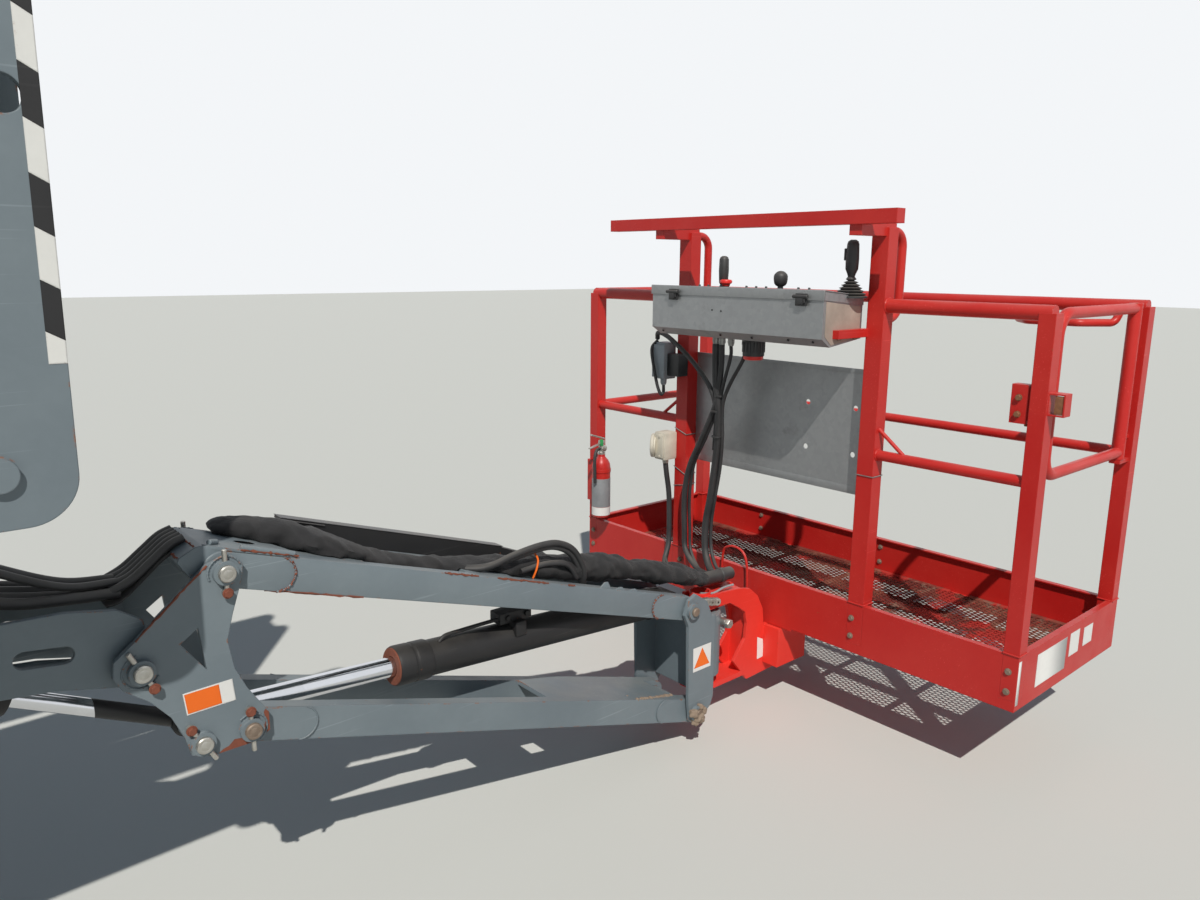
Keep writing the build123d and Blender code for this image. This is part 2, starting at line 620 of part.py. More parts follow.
def on_jib(d, h, base_pin=BRACKET_TOP_PIN):
    slope = radians(JIB_SLOPE)
    return (base_pin[0] + d * cos(slope) - h * sin(slope), base_pin[1] + d * sin(slope) + h * cos(slope))


half_jib = JIB_DEPTH / 2
upper_jib = jib_arm(BRACKET_TOP_PIN, HEAD_TOP_PIN)
upper_jib += member(on_jib(60, half_jib - 6), on_jib(330, half_jib - 6), 12, -JIB_ARM[0] - 2, JIB_ARM[0] + 2)
upper_jib += member(on_jib(620, half_jib - 6), on_jib(760, half_jib - 6), 12, -JIB_ARM[0] - 2, JIB_ARM[0] + 2)
# bent cover over the arm's near end, with an oval hole
COVER_OUT = [(-86, 36), (-80, 84), (-68, 94), (-30, 86), (122, 22), (146, -4)]
COVER_IN = [(138, -4), (118, 16), (-32, 79), (-66, 86), (-73, 80), (-79, 36)]
cover = plate([shift(BRACKET_TOP_PIN, step) for step in COVER_OUT + COVER_IN], -JIB_ARM[1], JIB_ARM[1])
for y in (-80, -40):
    cover -= Pos(BRACKET_TOP_PIN[0] + 42, y, BRACKET_TOP_PIN[1] + 50) * Cylinder(14, 60)
cover -= box(BRACKET_TOP_PIN[0] + 28, BRACKET_TOP_PIN[0] + 56, -80, -40, BRACKET_TOP_PIN[1] + 20, BRACKET_TOP_PIN[1] + 80)
side_plate = [(-79, 36), (-73, 80), (-66, 86), (-32, 79), (118, 16), (100, -6), (-60, 0)]
cover += both(plate([shift(BRACKET_TOP_PIN, step) for step in side_plate], JIB_ARM[1] - 14, JIB_ARM[1] - 8))
cover -= both(across(BRACKET_TOP_PIN, JIB_PIN + GAP, JIB_ARM[0] - 5, JIB_ARM[1] + 8))
upper_jib += cover
save(upper_jib, "jib_upper_arm")
lower_jib = jib_arm(BRACKET_LOW_PIN, HEAD_LOW_PIN)
# closing plates between its tubes: low beside the cylinder, then flush with the top
PLATE_RUNS = [(640, 850, 6 - half_jib), (850, 1370, half_jib - 6)]
for start, end, height in PLATE_RUNS:
    low_a = on_jib(start, height, BRACKET_LOW_PIN)
    low_b = on_jib(end, height, BRACKET_LOW_PIN)
    lower_jib += member(low_a, low_b, 12, -JIB_ARM[0] - 2, JIB_ARM[0] + 2)
save(lower_jib, "jib_lower_arm")

tray = member(on_jib(190, 20), on_jib(840, 20), 130, JIB_ARM[1] + 4, JIB_ARM[1] + 10)
tray += member(on_jib(190, 82), on_jib(840, 82), 6, JIB_ARM[1] + 4, JIB_ARM[1] + 40)
tray += member(on_jib(190, 0), on_jib(840, 0), 30, JIB_ARM[1], JIB_ARM[1] + 5)
save(tray, "jib_hose_tray")

sleeve = tube([(on_jib(d, h)[0], y, on_jib(d, h)[1]) for d, h, y in (
    (180, 70, 20), (300, 67.8, 12), (700, 67.8, 12), (1120, 67.8, 10), (1300, 74, 10))], 30)
save(sleeve, "jib_hose_sleeve")

save(ram_barrel(HEAD_TOP_PIN, BRACKET_LOW_PIN, 950, 46, 25, 34, JIB_PIN), "jib_cylinder_barrel")
save(ram_rod(HEAD_TOP_PIN, BRACKET_LOW_PIN, 290, 25, 34), "jib_cylinder_rod")

# Jib head and the platform's rotator
HEAD_OUTLINE = [
    (-16, 35),
    (15, 50),
    (67, 15),
    (96, -50),
    (108, -315),
    (96, -345),
    (30, -392),
    (3, -370),
    (-6, -300),
    (-14, -50),
    (-32, -10),
]
outline = [shift(HEAD_TOP_PIN, step) for step in HEAD_OUTLINE]
head = both(plate(outline, JIB_PLATE[0], JIB_PLATE[1]))
HEAD_FACE = HEAD_TOP_PIN[0] + 108
head += box(HEAD_FACE - 30, HEAD_FACE, -JIB_PLATE[1], JIB_PLATE[1], 170, 440)
for pin in (HEAD_TOP_PIN, HEAD_LOW_PIN):
    head += across(pin, JIB_PIN, -JIB_PLATE[1] - 2, JIB_PLATE[1] + 2)
    head += both(across(pin, 25, JIB_PLATE[1] - 1, JIB_PLATE[1] + 12))
save(head, "jib_head")

rotator = upright_bar(ROTATOR_X, 0, 70, 190, 400)
rotator += box(HEAD_FACE, ROTATOR_X, -58, 58, 200, 390)
rotator -= box(HEAD_FACE - 100, HEAD_FACE, -100, 100, 100, 500)
rotator += upright_bar(ROTATOR_X, 0, 30, 160, 430)
save(rotator, "platform_rotator")

# Platform support, a pair of C plates from the rotator to the floor
SUPPORT_OUTLINE = [
    (-36, 415),
    (-36, 462),
    (44, 462),
    (147, 455),
    (200, 442),
    (243, 407),
    (274, 352),
    (282, FLOOR_Z - 8),
    (420, FLOOR_Z - 8),
    (450, 200),
    (400, 118),
    (201, 110),
    (129, 196),
    (160, 234),
    (185, 264),
    (191, 318),
    (179, 363),
    (144, 388),
    (100, 415),
]
outline = [(ROTATOR_X + x, z) for x, z in SUPPORT_OUTLINE]
support = both(plate(outline, 34, 46))
support += box(ROTATOR_X - 36, ROTATOR_X + 160, -46, 46, 432, 452)
support += box(ROTATOR_X - 36, ROTATOR_X + 260, -46, 46, 130, 150)
support += box(ROTATOR_X + 200, ROTATOR_X + 215, -46, 46, 140, 400)
support += box(ROTATOR_X + 285, ROTATOR_X + 440, -110, 110, 150, 290)
for z0, z1 in ((120, 158), (424, 470)):
    support += upright_bar(ROTATOR_X, 0, 36, z0, z1)
support -= upright_bar(ROTATOR_X, 0, 30 + GAP, 100, 500)
save(support, "platform_support")

# Gate, a bent loop on the far post of the right end
GATE_X = FRONT - 95
GATE_LOW = 961
GATE_HIGH = 1401

# Platform frame
half_w = PLATFORM_W / 2
post_y = half_w - POST / 2
rail_z = RAIL_TOP - TOP_RAIL_R
back_x = BACK + POST / 2
front_x = FRONT - POST / 2
SHEET = 5
LIP = 20
kick_top = FLOOR_Z + KICK_H
base_frame = box(BACK, FRONT, -half_w, half_w, FLOOR_Z, kick_top)
base_frame -= box(BACK + SHEET, FRONT - SHEET, -half_w + SHEET, half_w - SHEET, FLOOR_Z - 5, kick_top - SHEET)
base_frame -= box(BACK + LIP, FRONT - LIP, -half_w + LIP, half_w - LIP, kick_top - 10, kick_top + 5)
for x in (BACK, BACK + 210, FRONT - 250, FRONT - 40):
    base_frame += box(x, x + 40, -half_w + 2, half_w - 2, FLOOR_Z, FLOOR_Z + 30)
base_frame += box(BACK, BACK + 220, -150, 150, FLOOR_Z - 8, FLOOR_Z + 25)
POST_FOOT = FLOOR_Z + 30
corners = [(x, y) for x in (back_x, front_x) for y in (-post_y, post_y)]
platform = Part()
for x, y in corners:
    post = box(x - POST / 2, x + POST / 2, y - POST / 2, y + POST / 2, POST_FOOT, rail_z)
    platform += post
    base_frame -= post
TALL_D = 50
TALL_W = 56
for side in (-1, 1):
    y = side * TALL_POST_Y
    platform += box(BACK - 150, BACK + 10, side * 350, side * 372, TALL_POST_TOP - 320, TALL_POST_TOP - 295)
    post = box(BACK, BACK + TALL_D, y - TALL_W / 2, y + TALL_W / 2, POST_FOOT, TALL_POST_TOP)
    platform += post
    base_frame -= post
    platform += box(BACK - 130, BACK + TALL_D, y - 20, y + 20, TALL_POST_TOP - 25, TALL_POST_TOP + 12)
    for z, r in ((rail_z, TOP_RAIL_R), (MID_RAIL_Z, MID_RAIL_R)):
        platform += tube([(back_x, y, z), (back_x, side * (post_y + r / 2), z)], r)
    brace_y = side * (TALL_POST_Y + TALL_W / 2 - 2)
    platform += tube([(back_x, brace_y, MID_RAIL_Z + 80), (back_x, brace_y + side * 96, MID_RAIL_Z + 5)], 6)
for z, r in ((rail_z, TOP_RAIL_R), (MID_RAIL_Z, MID_RAIL_R)):
    platform += tube([(front_x, -post_y - r / 2, z), (front_x, post_y + r / 2, z)], r)
    platform += tube([(back_x - r / 2, post_y, z), (front_x + r / 2, post_y, z)], r)
platform += box(BACK - 140, BACK - 100, -527, 640, TALL_POST_TOP + 5, TALL_POST_TOP + 45)
platform += tube([(BACK + 25, TALL_POST_Y, TALL_POST_TOP - 10), (BACK + 120, TALL_POST_Y, TALL_POST_TOP - 10),
                  (BACK + 120, TALL_POST_Y, rail_z - 40), (BACK + 25, TALL_POST_Y, rail_z - 40)], 14, 45)
platform += tube([(BACK + 25, -TALL_POST_Y, TALL_POST_TOP - 10), (BACK + 120, -TALL_POST_Y, TALL_POST_TOP - 10),
                  (BACK + 120, -TALL_POST_Y, rail_z - 40), (BACK + 25, -TALL_POST_Y, rail_z - 40)], 14, 45)
GRAB_Z = 1352
platform += tube([(front_x, -508, rail_z), (front_x - 22, -520, GRAB_Z), (front_x - 112, -590, GRAB_Z),
                  (front_x - 112, -750, GRAB_Z), (front_x - 22, -820, GRAB_Z), (front_x, -832, rail_z)], 12, 25)
for z in (GATE_LOW - 34, GATE_LOW + 40):
    platform += box(GATE_X + 19 + GAP, front_x, -post_y - 8, -post_y + 8, z, z + 12)
platform += box(GATE_X - 18, front_x, -post_y - 16, -post_y + 16, GATE_LOW - 34, GATE_LOW - 22)
LATCH_Z = 1110
platform += box(BACK + 8, BACK + 40, 30 - post_y, 76 - post_y, LATCH_Z, LATCH_Z + 105)
catch = box(BACK + 8, BACK + 48, -post_y - 64, -post_y - 20, LATCH_Z + 30, LATCH_Z + 90)
catch -= box(BACK + 4, BACK + 52, -post_y - 60, -post_y - 24, LATCH_Z + 34, LATCH_Z + 86)
platform += catch
platform += box(BACK + 12, BACK + 36, 20 - post_y, 32 - post_y, LATCH_Z + 10, LATCH_Z + 95)
save(base_frame, "platform_base")
save(platform, "platform_frame")

floor = box(BACK + SHEET, FRONT - SHEET, -half_w + SHEET, half_w - SHEET, FLOOR_Z + 30, FLOOR_Z + 36)
for x, y in corners:
    floor -= box(x - POST / 2, x + POST / 2, y - POST / 2, y + POST / 2, FLOOR_Z, FLOOR_Z + 60)
for side in (-1, 1):
    y = side * TALL_POST_Y
    floor -= box(BACK - 5, BACK + TALL_D, y - TALL_W / 2, y + TALL_W / 2, FLOOR_Z, FLOOR_Z + 60)
save(floor, "platform_floor")

gate = tube(
    [
        (GATE_X, -post_y, GATE_LOW),
        (BACK + 75, -post_y, GATE_LOW),
        (BACK + 75, -post_y, GATE_HIGH),
        (GATE_X, -post_y, GATE_HIGH),
    ],
    16,
    60,
)
gate += upright_bar(GATE_X, -post_y, 19, GATE_LOW - 21, GATE_HIGH + 16)
save(gate, "platform_gate")

# Control box between the tall posts, and what is on and below it
BOX_TOP = TALL_POST_TOP - 182
BOX_LOW = BOX_TOP - 163
BOX_FACE = BACK - 200
CONTROL = [
    (BOX_FACE, BOX_LOW + 25),
    (BOX_FACE + 40, BOX_LOW),
    (BACK - 4, BOX_LOW + 20),
    (BACK - 4, BOX_TOP - 18),
    (BOX_FACE, BOX_TOP),
]
save(plate(CONTROL, -350, 350), "control_box")

LEVERS = [(-100, 116, 90, 8), (-100, -118, 80, 14), (-78, -300, 165, 16), (-90, 140, 50, 18)]
levers = box(BACK - 190, BACK - 12, -300, 300, BOX_TOP, BOX_TOP + 5)
for dx, y, high, r in LEVERS:
    levers += upright_bar(BACK + dx, y, r, BOX_TOP, BOX_TOP + high)
save(levers, "control_levers")

panel = box(BACK + TALL_D, BACK + TALL_D + 4, -372, 372, 804, 1205)
for y, z in ((-133, 1080), (-314, 1080), (-132, 931), (-313, 931)):
    panel -= Pos(BACK + TALL_D, y, z) * Rot(0, 90, 0) * Cylinder(9, 30)
save(panel, "equipment_panel")

BOTTLE = (BACK - 40, half_w - 118)
bottle = upright_bar(BOTTLE[0], BOTTLE[1], 37, 505, 775)
bottle += upright_bar(BOTTLE[0], BOTTLE[1], 14, 770, 830)
bottle += box(BOTTLE[0] - 20, BACK, BOTTLE[1] - 10, BOTTLE[1] + 75, 560, 580)
save(bottle, "fire_extinguisher")

save(box(BACK - 72, BACK, TALL_POST_Y + 5, TALL_POST_Y + 75, 800, 910), "outlet_box")

cables = tube([(BACK - 80, 130, BOX_LOW + 7), (BACK - 80, 140, 1100), (BACK - 70, 200, 760), (BACK - 60, 205, 420)], 16, 60)
save(cables, "control_cables")
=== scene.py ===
import json
from math import cos, pi, radians, sin, sqrt

import bmesh
import bpy
from mathutils import Matrix, Vector, noise


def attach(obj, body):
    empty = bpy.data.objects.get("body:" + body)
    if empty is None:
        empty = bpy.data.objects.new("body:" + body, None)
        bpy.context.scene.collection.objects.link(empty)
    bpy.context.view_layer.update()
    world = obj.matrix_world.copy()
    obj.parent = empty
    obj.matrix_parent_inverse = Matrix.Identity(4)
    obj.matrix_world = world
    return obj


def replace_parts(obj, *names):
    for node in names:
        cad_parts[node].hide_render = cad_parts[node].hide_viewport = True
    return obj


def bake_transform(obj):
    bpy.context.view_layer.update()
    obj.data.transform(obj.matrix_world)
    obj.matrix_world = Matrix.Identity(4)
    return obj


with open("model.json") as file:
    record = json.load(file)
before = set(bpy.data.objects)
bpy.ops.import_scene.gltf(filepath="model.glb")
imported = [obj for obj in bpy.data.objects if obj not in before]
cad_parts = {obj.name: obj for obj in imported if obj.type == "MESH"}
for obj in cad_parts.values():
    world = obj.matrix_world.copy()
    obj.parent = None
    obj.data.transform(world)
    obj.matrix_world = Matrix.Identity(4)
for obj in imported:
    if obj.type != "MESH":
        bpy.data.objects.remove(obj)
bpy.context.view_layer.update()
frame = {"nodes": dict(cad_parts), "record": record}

# Main sizes, in metres, in the model's own frame
SLEW_X = -1.95
BACK = 2.65
FRONT = 3.35
FLOOR_Z = 0.3
HALF_W = 0.915
RAIL_Z = 1.404
MID_Z = 0.952
POST = 0.045
POST_Y = HALF_W - POST / 2
TALL_Y = 0.393
JIB_SLOPE = radians(-17.6)
P_TOP = Vector((0.8132, 0, 0.9142))
P_LOW = Vector((0.8412, 0, 0.5642))
P_TIP = Vector((0.6452, 0, 0.7522))
P_LEVEL = Vector((0.7432, 0, 0.5682))
P_HEAD = Vector((2.182, 0, 0.48))
P_HEAD_LOW = Vector((2.21, 0, 0.13))
PIN_FACE = 0.1358
LINK_FACE = 0.436
BOOM_SLOPE = radians(-16.008)
BOOM_TIP = Vector((0.6452, 0, 0.7822))


def on_jib(d, h, y=0.0, base=P_TOP):
    return Vector((base.x + d * cos(JIB_SLOPE) - h * sin(JIB_SLOPE), y,
        base.z + d * sin(JIB_SLOPE) + h * cos(JIB_SLOPE)))


def on_boom(u, v, y=0.0):
    return Vector((BOOM_TIP.x + u * cos(BOOM_SLOPE) - v * sin(BOOM_SLOPE), y,
        BOOM_TIP.z + u * sin(BOOM_SLOPE) + v * cos(BOOM_SLOPE)))


UP, DOWN = (0, 0, 1), (0, 0, -1)
AHEAD, BACKWARD = (1, 0, 0), (-1, 0, 0)


# Camera, fitted to the photograph's frame
YAW, PITCH, ROLL = 0.7156, 0.2046, 0.0073
look = Vector((sin(YAW) * cos(PITCH), cos(YAW) * cos(PITCH), -sin(PITCH)))
level = Vector((cos(YAW), -sin(YAW), 0))
rise = level.cross(look)
right = level * cos(ROLL) + rise * sin(ROLL)
above = rise * cos(ROLL) - level * sin(ROLL)
camera = bpy.data.objects.new("camera", bpy.data.cameras.new("camera"))
bpy.context.scene.collection.objects.link(camera)
camera.data.lens = 27.03
camera.data.sensor_width = 36
camera.data.clip_end = 100
turn = Matrix((right, above, -look)).transposed().to_4x4()
camera.matrix_world = Matrix.Translation((0.2561, -1.902, 1.5223)) @ turn
bpy.context.scene.camera = camera

# Node trees: a value that is a socket is joined, any other is set
class Shade:
    def __init__(self, tree):
        self.tree = tree

    def put(self, socket, value):
        if isinstance(value, bpy.types.NodeSocket):
            self.tree.links.new(value, socket)
        elif isinstance(value, tuple) and socket.type == "RGBA":
            socket.default_value = (*value[:3], 1)
        else:
            socket.default_value = value

    def add(self, kind, values=None, **settings):
        node = self.tree.nodes.new(kind)
        for key, value in settings.items():
            setattr(node, key, value)
        for key, value in (values or {}).items():
            self.put(node.inputs[key], value)
        return node

    def math(self, what, a, b, clamp=False):
        return self.add("ShaderNodeMath", {0: a, 1: b}, operation=what, use_clamp=clamp).outputs[0]

    def plus(self, a, b, clamp=False):
        return self.math("ADD", a, b, clamp)

    def minus(self, a, b):
        return self.math("SUBTRACT", a, b)

    def times(self, a, b, clamp=False):
        return self.math("MULTIPLY", a, b, clamp)

    def larger(self, a, b):
        return self.math("MAXIMUM", a, b)

    def ramp(self, source, low, high):
        values = {"Value": source, "From Min": low, "From Max": high}
        return self.add("ShaderNodeMapRange", values).outputs["Result"]

    def noise(self, vector, scale, detail=4.0, rough=0.55):
        values = {"Vector": vector, "Scale": scale, "Detail": detail, "Roughness": rough}
        return self.add("ShaderNodeTexNoise", values).outputs["Fac"]

    def mix(self, factor, a, b):
        return self.add("ShaderNodeMix", {0: factor, 6: a, 7: b}, data_type="RGBA").outputs[2]

    def place(self):
        return self.add("ShaderNodeTexCoord").outputs["Object"]

    def rounded(self, radius):
        return self.add("ShaderNodeBevel", {"Radius": radius}, samples=4).outputs[0]


def mask_group(name, **inputs):
    tree = bpy.data.node_groups.new(name, "ShaderNodeTree")
    for label, value in inputs.items():
        tree.interface.new_socket(label, in_out="INPUT",
            socket_type="NodeSocketFloat").default_value = value
    tree.interface.new_socket("Mask", in_out="OUTPUT", socket_type="NodeSocketFloat")
    shade = Shade(tree)
    return tree, shade, shade.add("NodeGroupInput").outputs


def worn_edge_group():
    tree, s, given = mask_group("worn_edge", Ragged=40.0, Reach=0.5)
    normals = {0: s.rounded(0.006), 1: s.add("ShaderNodeNewGeometry").outputs["Normal"]}
    dot = s.add("ShaderNodeVectorMath", normals, operation="DOT_PRODUCT").outputs["Value"]
    edge = s.times(s.minus(1.0, dot), 14.0, True)
    broken = s.minus(s.noise(s.place(), given["Ragged"], 5.0, 0.65), given["Reach"])
    s.add("NodeGroupOutput", {0: s.ramp(s.times(edge, broken), 0.01, 0.07)})
    return tree


def patches_group():
    tree, s, given = mask_group("patches", Size=8.0, Cover=0.6, Soft=0.05)
    patch = s.noise(s.place(), given["Size"], 8.0, 0.62)
    s.add("NodeGroupOutput", {0: s.ramp(patch, given["Cover"], s.plus(given["Cover"], given["Soft"]))})
    return tree


def scratches_group():
    tree, s, given = mask_group("scratches", Length=3.0, Rarity=0.72)
    place = s.place()
    masks = []
    for angle, across in ((0.35, 60.0), (1.25, 75.0), (2.5, 66.0)):
        turned = {"Vector": place, "Rotation": (angle, angle * 0.8, angle * 1.4),
            "Scale": (1, across, across)}
        streak = s.noise(s.add("ShaderNodeMapping", turned).outputs[0], given["Length"], 1.0, 0.4)
        gate = s.ramp(s.noise(place, 3.0 + angle, 2.0), 0.52, 0.62)
        masks.append(s.times(s.times(s.minus(streak, given["Rarity"]), 30.0, True), gate))
    s.add("NodeGroupOutput", {0: s.larger(s.larger(masks[0], masks[1]), masks[2])})
    return tree


def settled_dust_group():
    tree, s, given = mask_group("settled_dust", Amount=0.4)
    split = s.add("ShaderNodeSeparateXYZ", {0: s.add("ShaderNodeNewGeometry").outputs["Normal"]})
    up = s.ramp(split.outputs["Z"], 0.3, 1.0)
    cloud = s.ramp(s.noise(s.place(), 9.0, 6.0), 0.35, 0.7)
    s.add("NodeGroupOutput", {0: s.times(s.times(up, cloud), given["Amount"], True)})
    return tree


WORN_EDGE = worn_edge_group()
PATCHES = patches_group()
SCRATCHES = scratches_group()
DUST = settled_dust_group()


def use(s, tree, **values):
    return s.add("ShaderNodeGroup", values, node_tree=tree).outputs[0]


def surface(name):
    material = bpy.data.materials.new(name)
    material.use_nodes = True
    material.node_tree.nodes.clear()
    s = Shade(material.node_tree)
    return material, s, s.place()


def skin(s, colour, rough, height=None, strength=0.0, distance=0.0, corner=0.0, **values):
    sockets = {"Base Color": colour, "Roughness": rough}
    sockets.update({key.replace("_", " "): value for key, value in values.items()})
    if height:
        relief = {"Height": height, "Strength": strength, "Distance": distance}
        if corner:
            relief["Normal"] = s.rounded(corner)
        sockets["Normal"] = s.add("ShaderNodeBump", relief).outputs[0]
    shader = s.add("ShaderNodeBsdfPrincipled", sockets)
    s.add("ShaderNodeOutputMaterial", {0: shader.outputs[0]})


RUST = (0.2, 0.052, 0.02)
DUST_TINT = (0.42, 0.38, 0.32)


def enamel(name, base, faded, rough=0.42, rust=0.56, dust=0.3, chips=0.72, scratch=0.5, corner=0.003):
    material, s, place = surface(name)
    tone = s.mix(s.ramp(s.noise(place, 3.2, 5.0), 0.3, 0.7), base, faded)
    fine = s.ramp(s.noise(place, 60.0, 3.0), 0.2, 0.9)
    tone = s.mix(s.times(fine, 0.16), tone, tuple(c * 0.72 for c in base))
    marks = s.times(use(s, SCRATCHES, Length=3.0, Rarity=0.7), scratch)
    tone = s.mix(marks, tone, tuple(min(1, c * 1.5 + 0.09) for c in faded))
    edge = use(s, WORN_EDGE, Ragged=34.0, Reach=rust)
    bare = s.larger(edge, use(s, PATCHES, Size=30.0, Cover=chips, Soft=0.02))
    tone = s.mix(bare, tone, s.mix(s.noise(place, 120.0, 3.0), RUST, (0.36, 0.15, 0.06)))
    veil = use(s, DUST, Amount=dust)
    gloss = s.plus(s.times(s.ramp(s.noise(place, 14.0, 4.0), 0.2, 0.8), 0.16), rough - 0.06)
    gloss = s.plus(gloss, s.times(s.larger(bare, veil), 0.38), True)
    peel = s.plus(s.times(s.noise(place, 260.0, 2.0), 0.25), s.times(s.noise(place, 9.0, 3.0), 0.5))
    skin(s, s.mix(veil, tone, DUST_TINT), gloss, s.minus(peel, bare), 0.25, 0.0012, corner,
        Specular_IOR_Level=0.38)
    return material


def metal(name, base, dull, rough, scale=40.0, metallic=0.9, grime=0.6):
    material, s, place = surface(name)
    spangle = s.add("ShaderNodeTexVoronoi", {"Vector": place, "Scale": scale})
    cell = s.ramp(spangle.outputs["Color"], 0.0, 1.0)
    dirt = use(s, PATCHES, Size=7.0, Cover=grime, Soft=0.25)
    tone = s.mix(s.times(dirt, 0.6), s.mix(s.times(cell, 0.7), base, dull), (0.12, 0.1, 0.08))
    gloss = s.plus(s.plus(s.times(s.noise(place, 22.0), 0.3), rough - 0.12), s.times(dirt, 0.25), True)
    skin(s, tone, gloss, s.noise(place, 180.0, 3.0), 0.12, 0.0006, Metallic=metallic)
    return material


def moulded(name, base, rough=0.55, grain=300.0, dust=0.35, depth=0.0006):
    material, s, place = surface(name)
    paler = tuple(min(1, c * 1.5 + 0.012) for c in base)
    tone = s.mix(s.ramp(s.noise(place, 12.0), 0.3, 0.75), base, paler)
    veil = use(s, DUST, Amount=dust)
    gloss = s.plus(s.times(s.noise(place, 18.0), 0.2), rough - 0.1)
    gloss = s.plus(gloss, s.times(veil, 0.3), True)
    skin(s, s.mix(veil, tone, DUST_TINT), gloss, s.noise(place, grain, 3.0), 0.3, depth)
    return material


def woven(name, base):
    material, s, place = surface(name)
    across, along = [s.add("ShaderNodeTexWave", {"Vector": place, "Scale": 190.0, "Distortion": 1.2},
        bands_direction=way) for way in "XZ"]
    weave = s.times(across.outputs["Fac"], along.outputs["Fac"])
    tone = s.mix(weave, base, tuple(c * 1.8 + 0.004 for c in base))
    pale = use(s, PATCHES, Size=11.0, Cover=0.55, Soft=0.2)
    tone = s.mix(s.times(pale, 0.3), tone, (0.06, 0.056, 0.052))
    creases = s.times(s.noise(place, 16.0, 6.0), 3.0)
    skin(s, tone, 0.9, s.plus(creases, s.times(weave, 0.25)), 0.6, 0.004, Sheen_Weight=0.06)
    return material


def rusted_mesh():
    material, s, place = surface("worn_mesh")
    tone = s.mix(s.ramp(s.noise(place, 8.0, 6.0), 0.42, 0.58), (0.15, 0.03, 0.022), (0.22, 0.07, 0.045))
    tone = s.mix(use(s, PATCHES, Size=16.0, Cover=0.56, Soft=0.06), tone, (0.24, 0.13, 0.095))
    tone = s.mix(use(s, PATCHES, Size=5.0, Cover=0.53, Soft=0.04), tone, (0.4, 0.03, 0.022))
    gloss = s.plus(s.times(s.noise(place, 60.0), 0.3), 0.5)
    skin(s, tone, gloss, s.noise(place, 200.0, 3.0), 0.4, 0.001)
    return material


# The levelling cylinder's rod: bright, with painted shade (black) towards its eye
def rod_with_painted_shade():
    material = metal("level_rod_chrome", (0.74, 0.75, 0.78), (0.66, 0.67, 0.7), 0.14, 6.0, 1.0, 0.72)
    s = Shade(material.node_tree)
    sockets = next(node for node in s.tree.nodes if node.type == "BSDF_PRINCIPLED").inputs
    split = s.add("ShaderNodeSeparateXYZ", {0: s.place()})
    # Black from here to the eye: painted shade on the rod
    shaded_end = s.ramp(split.outputs["X"], 0.578, 0.579)
    colour, rough = sockets["Base Color"], sockets["Roughness"]
    s.put(colour, s.mix(shaded_end, colour.links[0].from_socket, (0.014, 0.014, 0.015)))
    s.put(rough, s.plus(rough.links[0].from_socket, s.times(shaded_end, 0.35)))
    s.put(sockets["Metallic"], s.minus(1.0, shaded_end))
    return material


GREY = enamel("grey_enamel", (0.15, 0.186, 0.21), (0.194, 0.234, 0.256), 0.42, 0.57, 0.22, 0.735, 0.25)
RED = enamel("red_enamel", (0.5, 0.013, 0.011), (0.56, 0.03, 0.022), 0.38, 0.6, 0.12, 0.745, 0.28)
# A brighter copy of the red enamel, for the platform support: painted sunlight
SUNLIT_RED = enamel("red_painted_sunlight", (0.74, 0.03, 0.02), (0.78, 0.045, 0.03), 0.4, 0.62, 0.05, 0.76, 0.15)
BLACK = enamel("black_enamel", (0.012, 0.012, 0.013), (0.02, 0.02, 0.021), 0.5, 0.6, 0.1, 0.76, 0.12)
RIM = enamel("rim_enamel", (0.5, 0.51, 0.51), (0.6, 0.6, 0.59), 0.45, 0.58, 0.3, 0.74, 0.3)
BOTTLE_RED = enamel("bottle_enamel", (0.45, 0.012, 0.014), (0.52, 0.03, 0.02), 0.3, 0.68, 0.15, 0.78, 0.2)
WHITE_PAINT = enamel("white_paint", (0.7, 0.7, 0.67), (0.78, 0.78, 0.75), 0.5, 0.6, 0.1, 0.72, 0.15)
BLACK_PAINT = enamel("stripe_black", (0.015, 0.015, 0.016), (0.025, 0.025, 0.026), 0.5, 0.6, 0.1, 0.74, 0.1)
ORANGE = enamel("label_orange", (0.86, 0.15, 0.01), (0.88, 0.17, 0.015), 0.45, 0.7, 0.05, 0.78, 0.1)
LABEL = enamel("label_white", (0.74, 0.74, 0.72), (0.8, 0.8, 0.78), 0.45, 0.7, 0.05, 0.78, 0.1)
CHROME = metal("chrome_rod", (0.74, 0.75, 0.78), (0.66, 0.67, 0.7), 0.14, 6.0, 1.0, 0.72)
LEVEL_CHROME = rod_with_painted_shade()
ZINC = metal("zinc_sheet", (0.34, 0.35, 0.355), (0.29, 0.3, 0.305), 0.5, 70.0, 0.75, 0.6)
BOLT_ZINC = metal("bolt_zinc", (0.55, 0.54, 0.5), (0.42, 0.4, 0.36), 0.36, 90.0, 0.9, 0.5)
BOLT_DULL = metal("bolt_dull", (0.3, 0.24, 0.19), (0.17, 0.12, 0.085), 0.6, 90.0, 0.5, 0.5)
GLAND = metal("gland_nickel", (0.34, 0.34, 0.33), (0.26, 0.26, 0.25), 0.42, 90.0, 0.7, 0.6)
BOLT_RUST = metal("bolt_rust", (0.21, 0.062, 0.034), (0.15, 0.048, 0.028), 0.8, 60.0, 0.0, 0.6)
PIN_RUST = metal("pin_rust", (0.3, 0.13, 0.06), (0.16, 0.07, 0.035), 0.75, 90.0, 0.2, 0.5)
IRON = metal("engine_iron", (0.1, 0.1, 0.105), (0.07, 0.07, 0.07), 0.6, 30.0, 0.5, 0.5)
RUBBER = moulded("tyre_rubber", (0.022, 0.022, 0.023), 0.8, 160.0, 0.55, 0.0012)
HOSE = moulded("hose_rubber", (0.016, 0.016, 0.017), 0.6, 260.0, 0.25)
PLASTIC = moulded("black_plastic", (0.018, 0.018, 0.019), 0.5, 320.0, 0.25)
DUSTY = moulded("dusty_sheet", (0.3, 0.245, 0.205), 0.7, 90.0, 0.1)
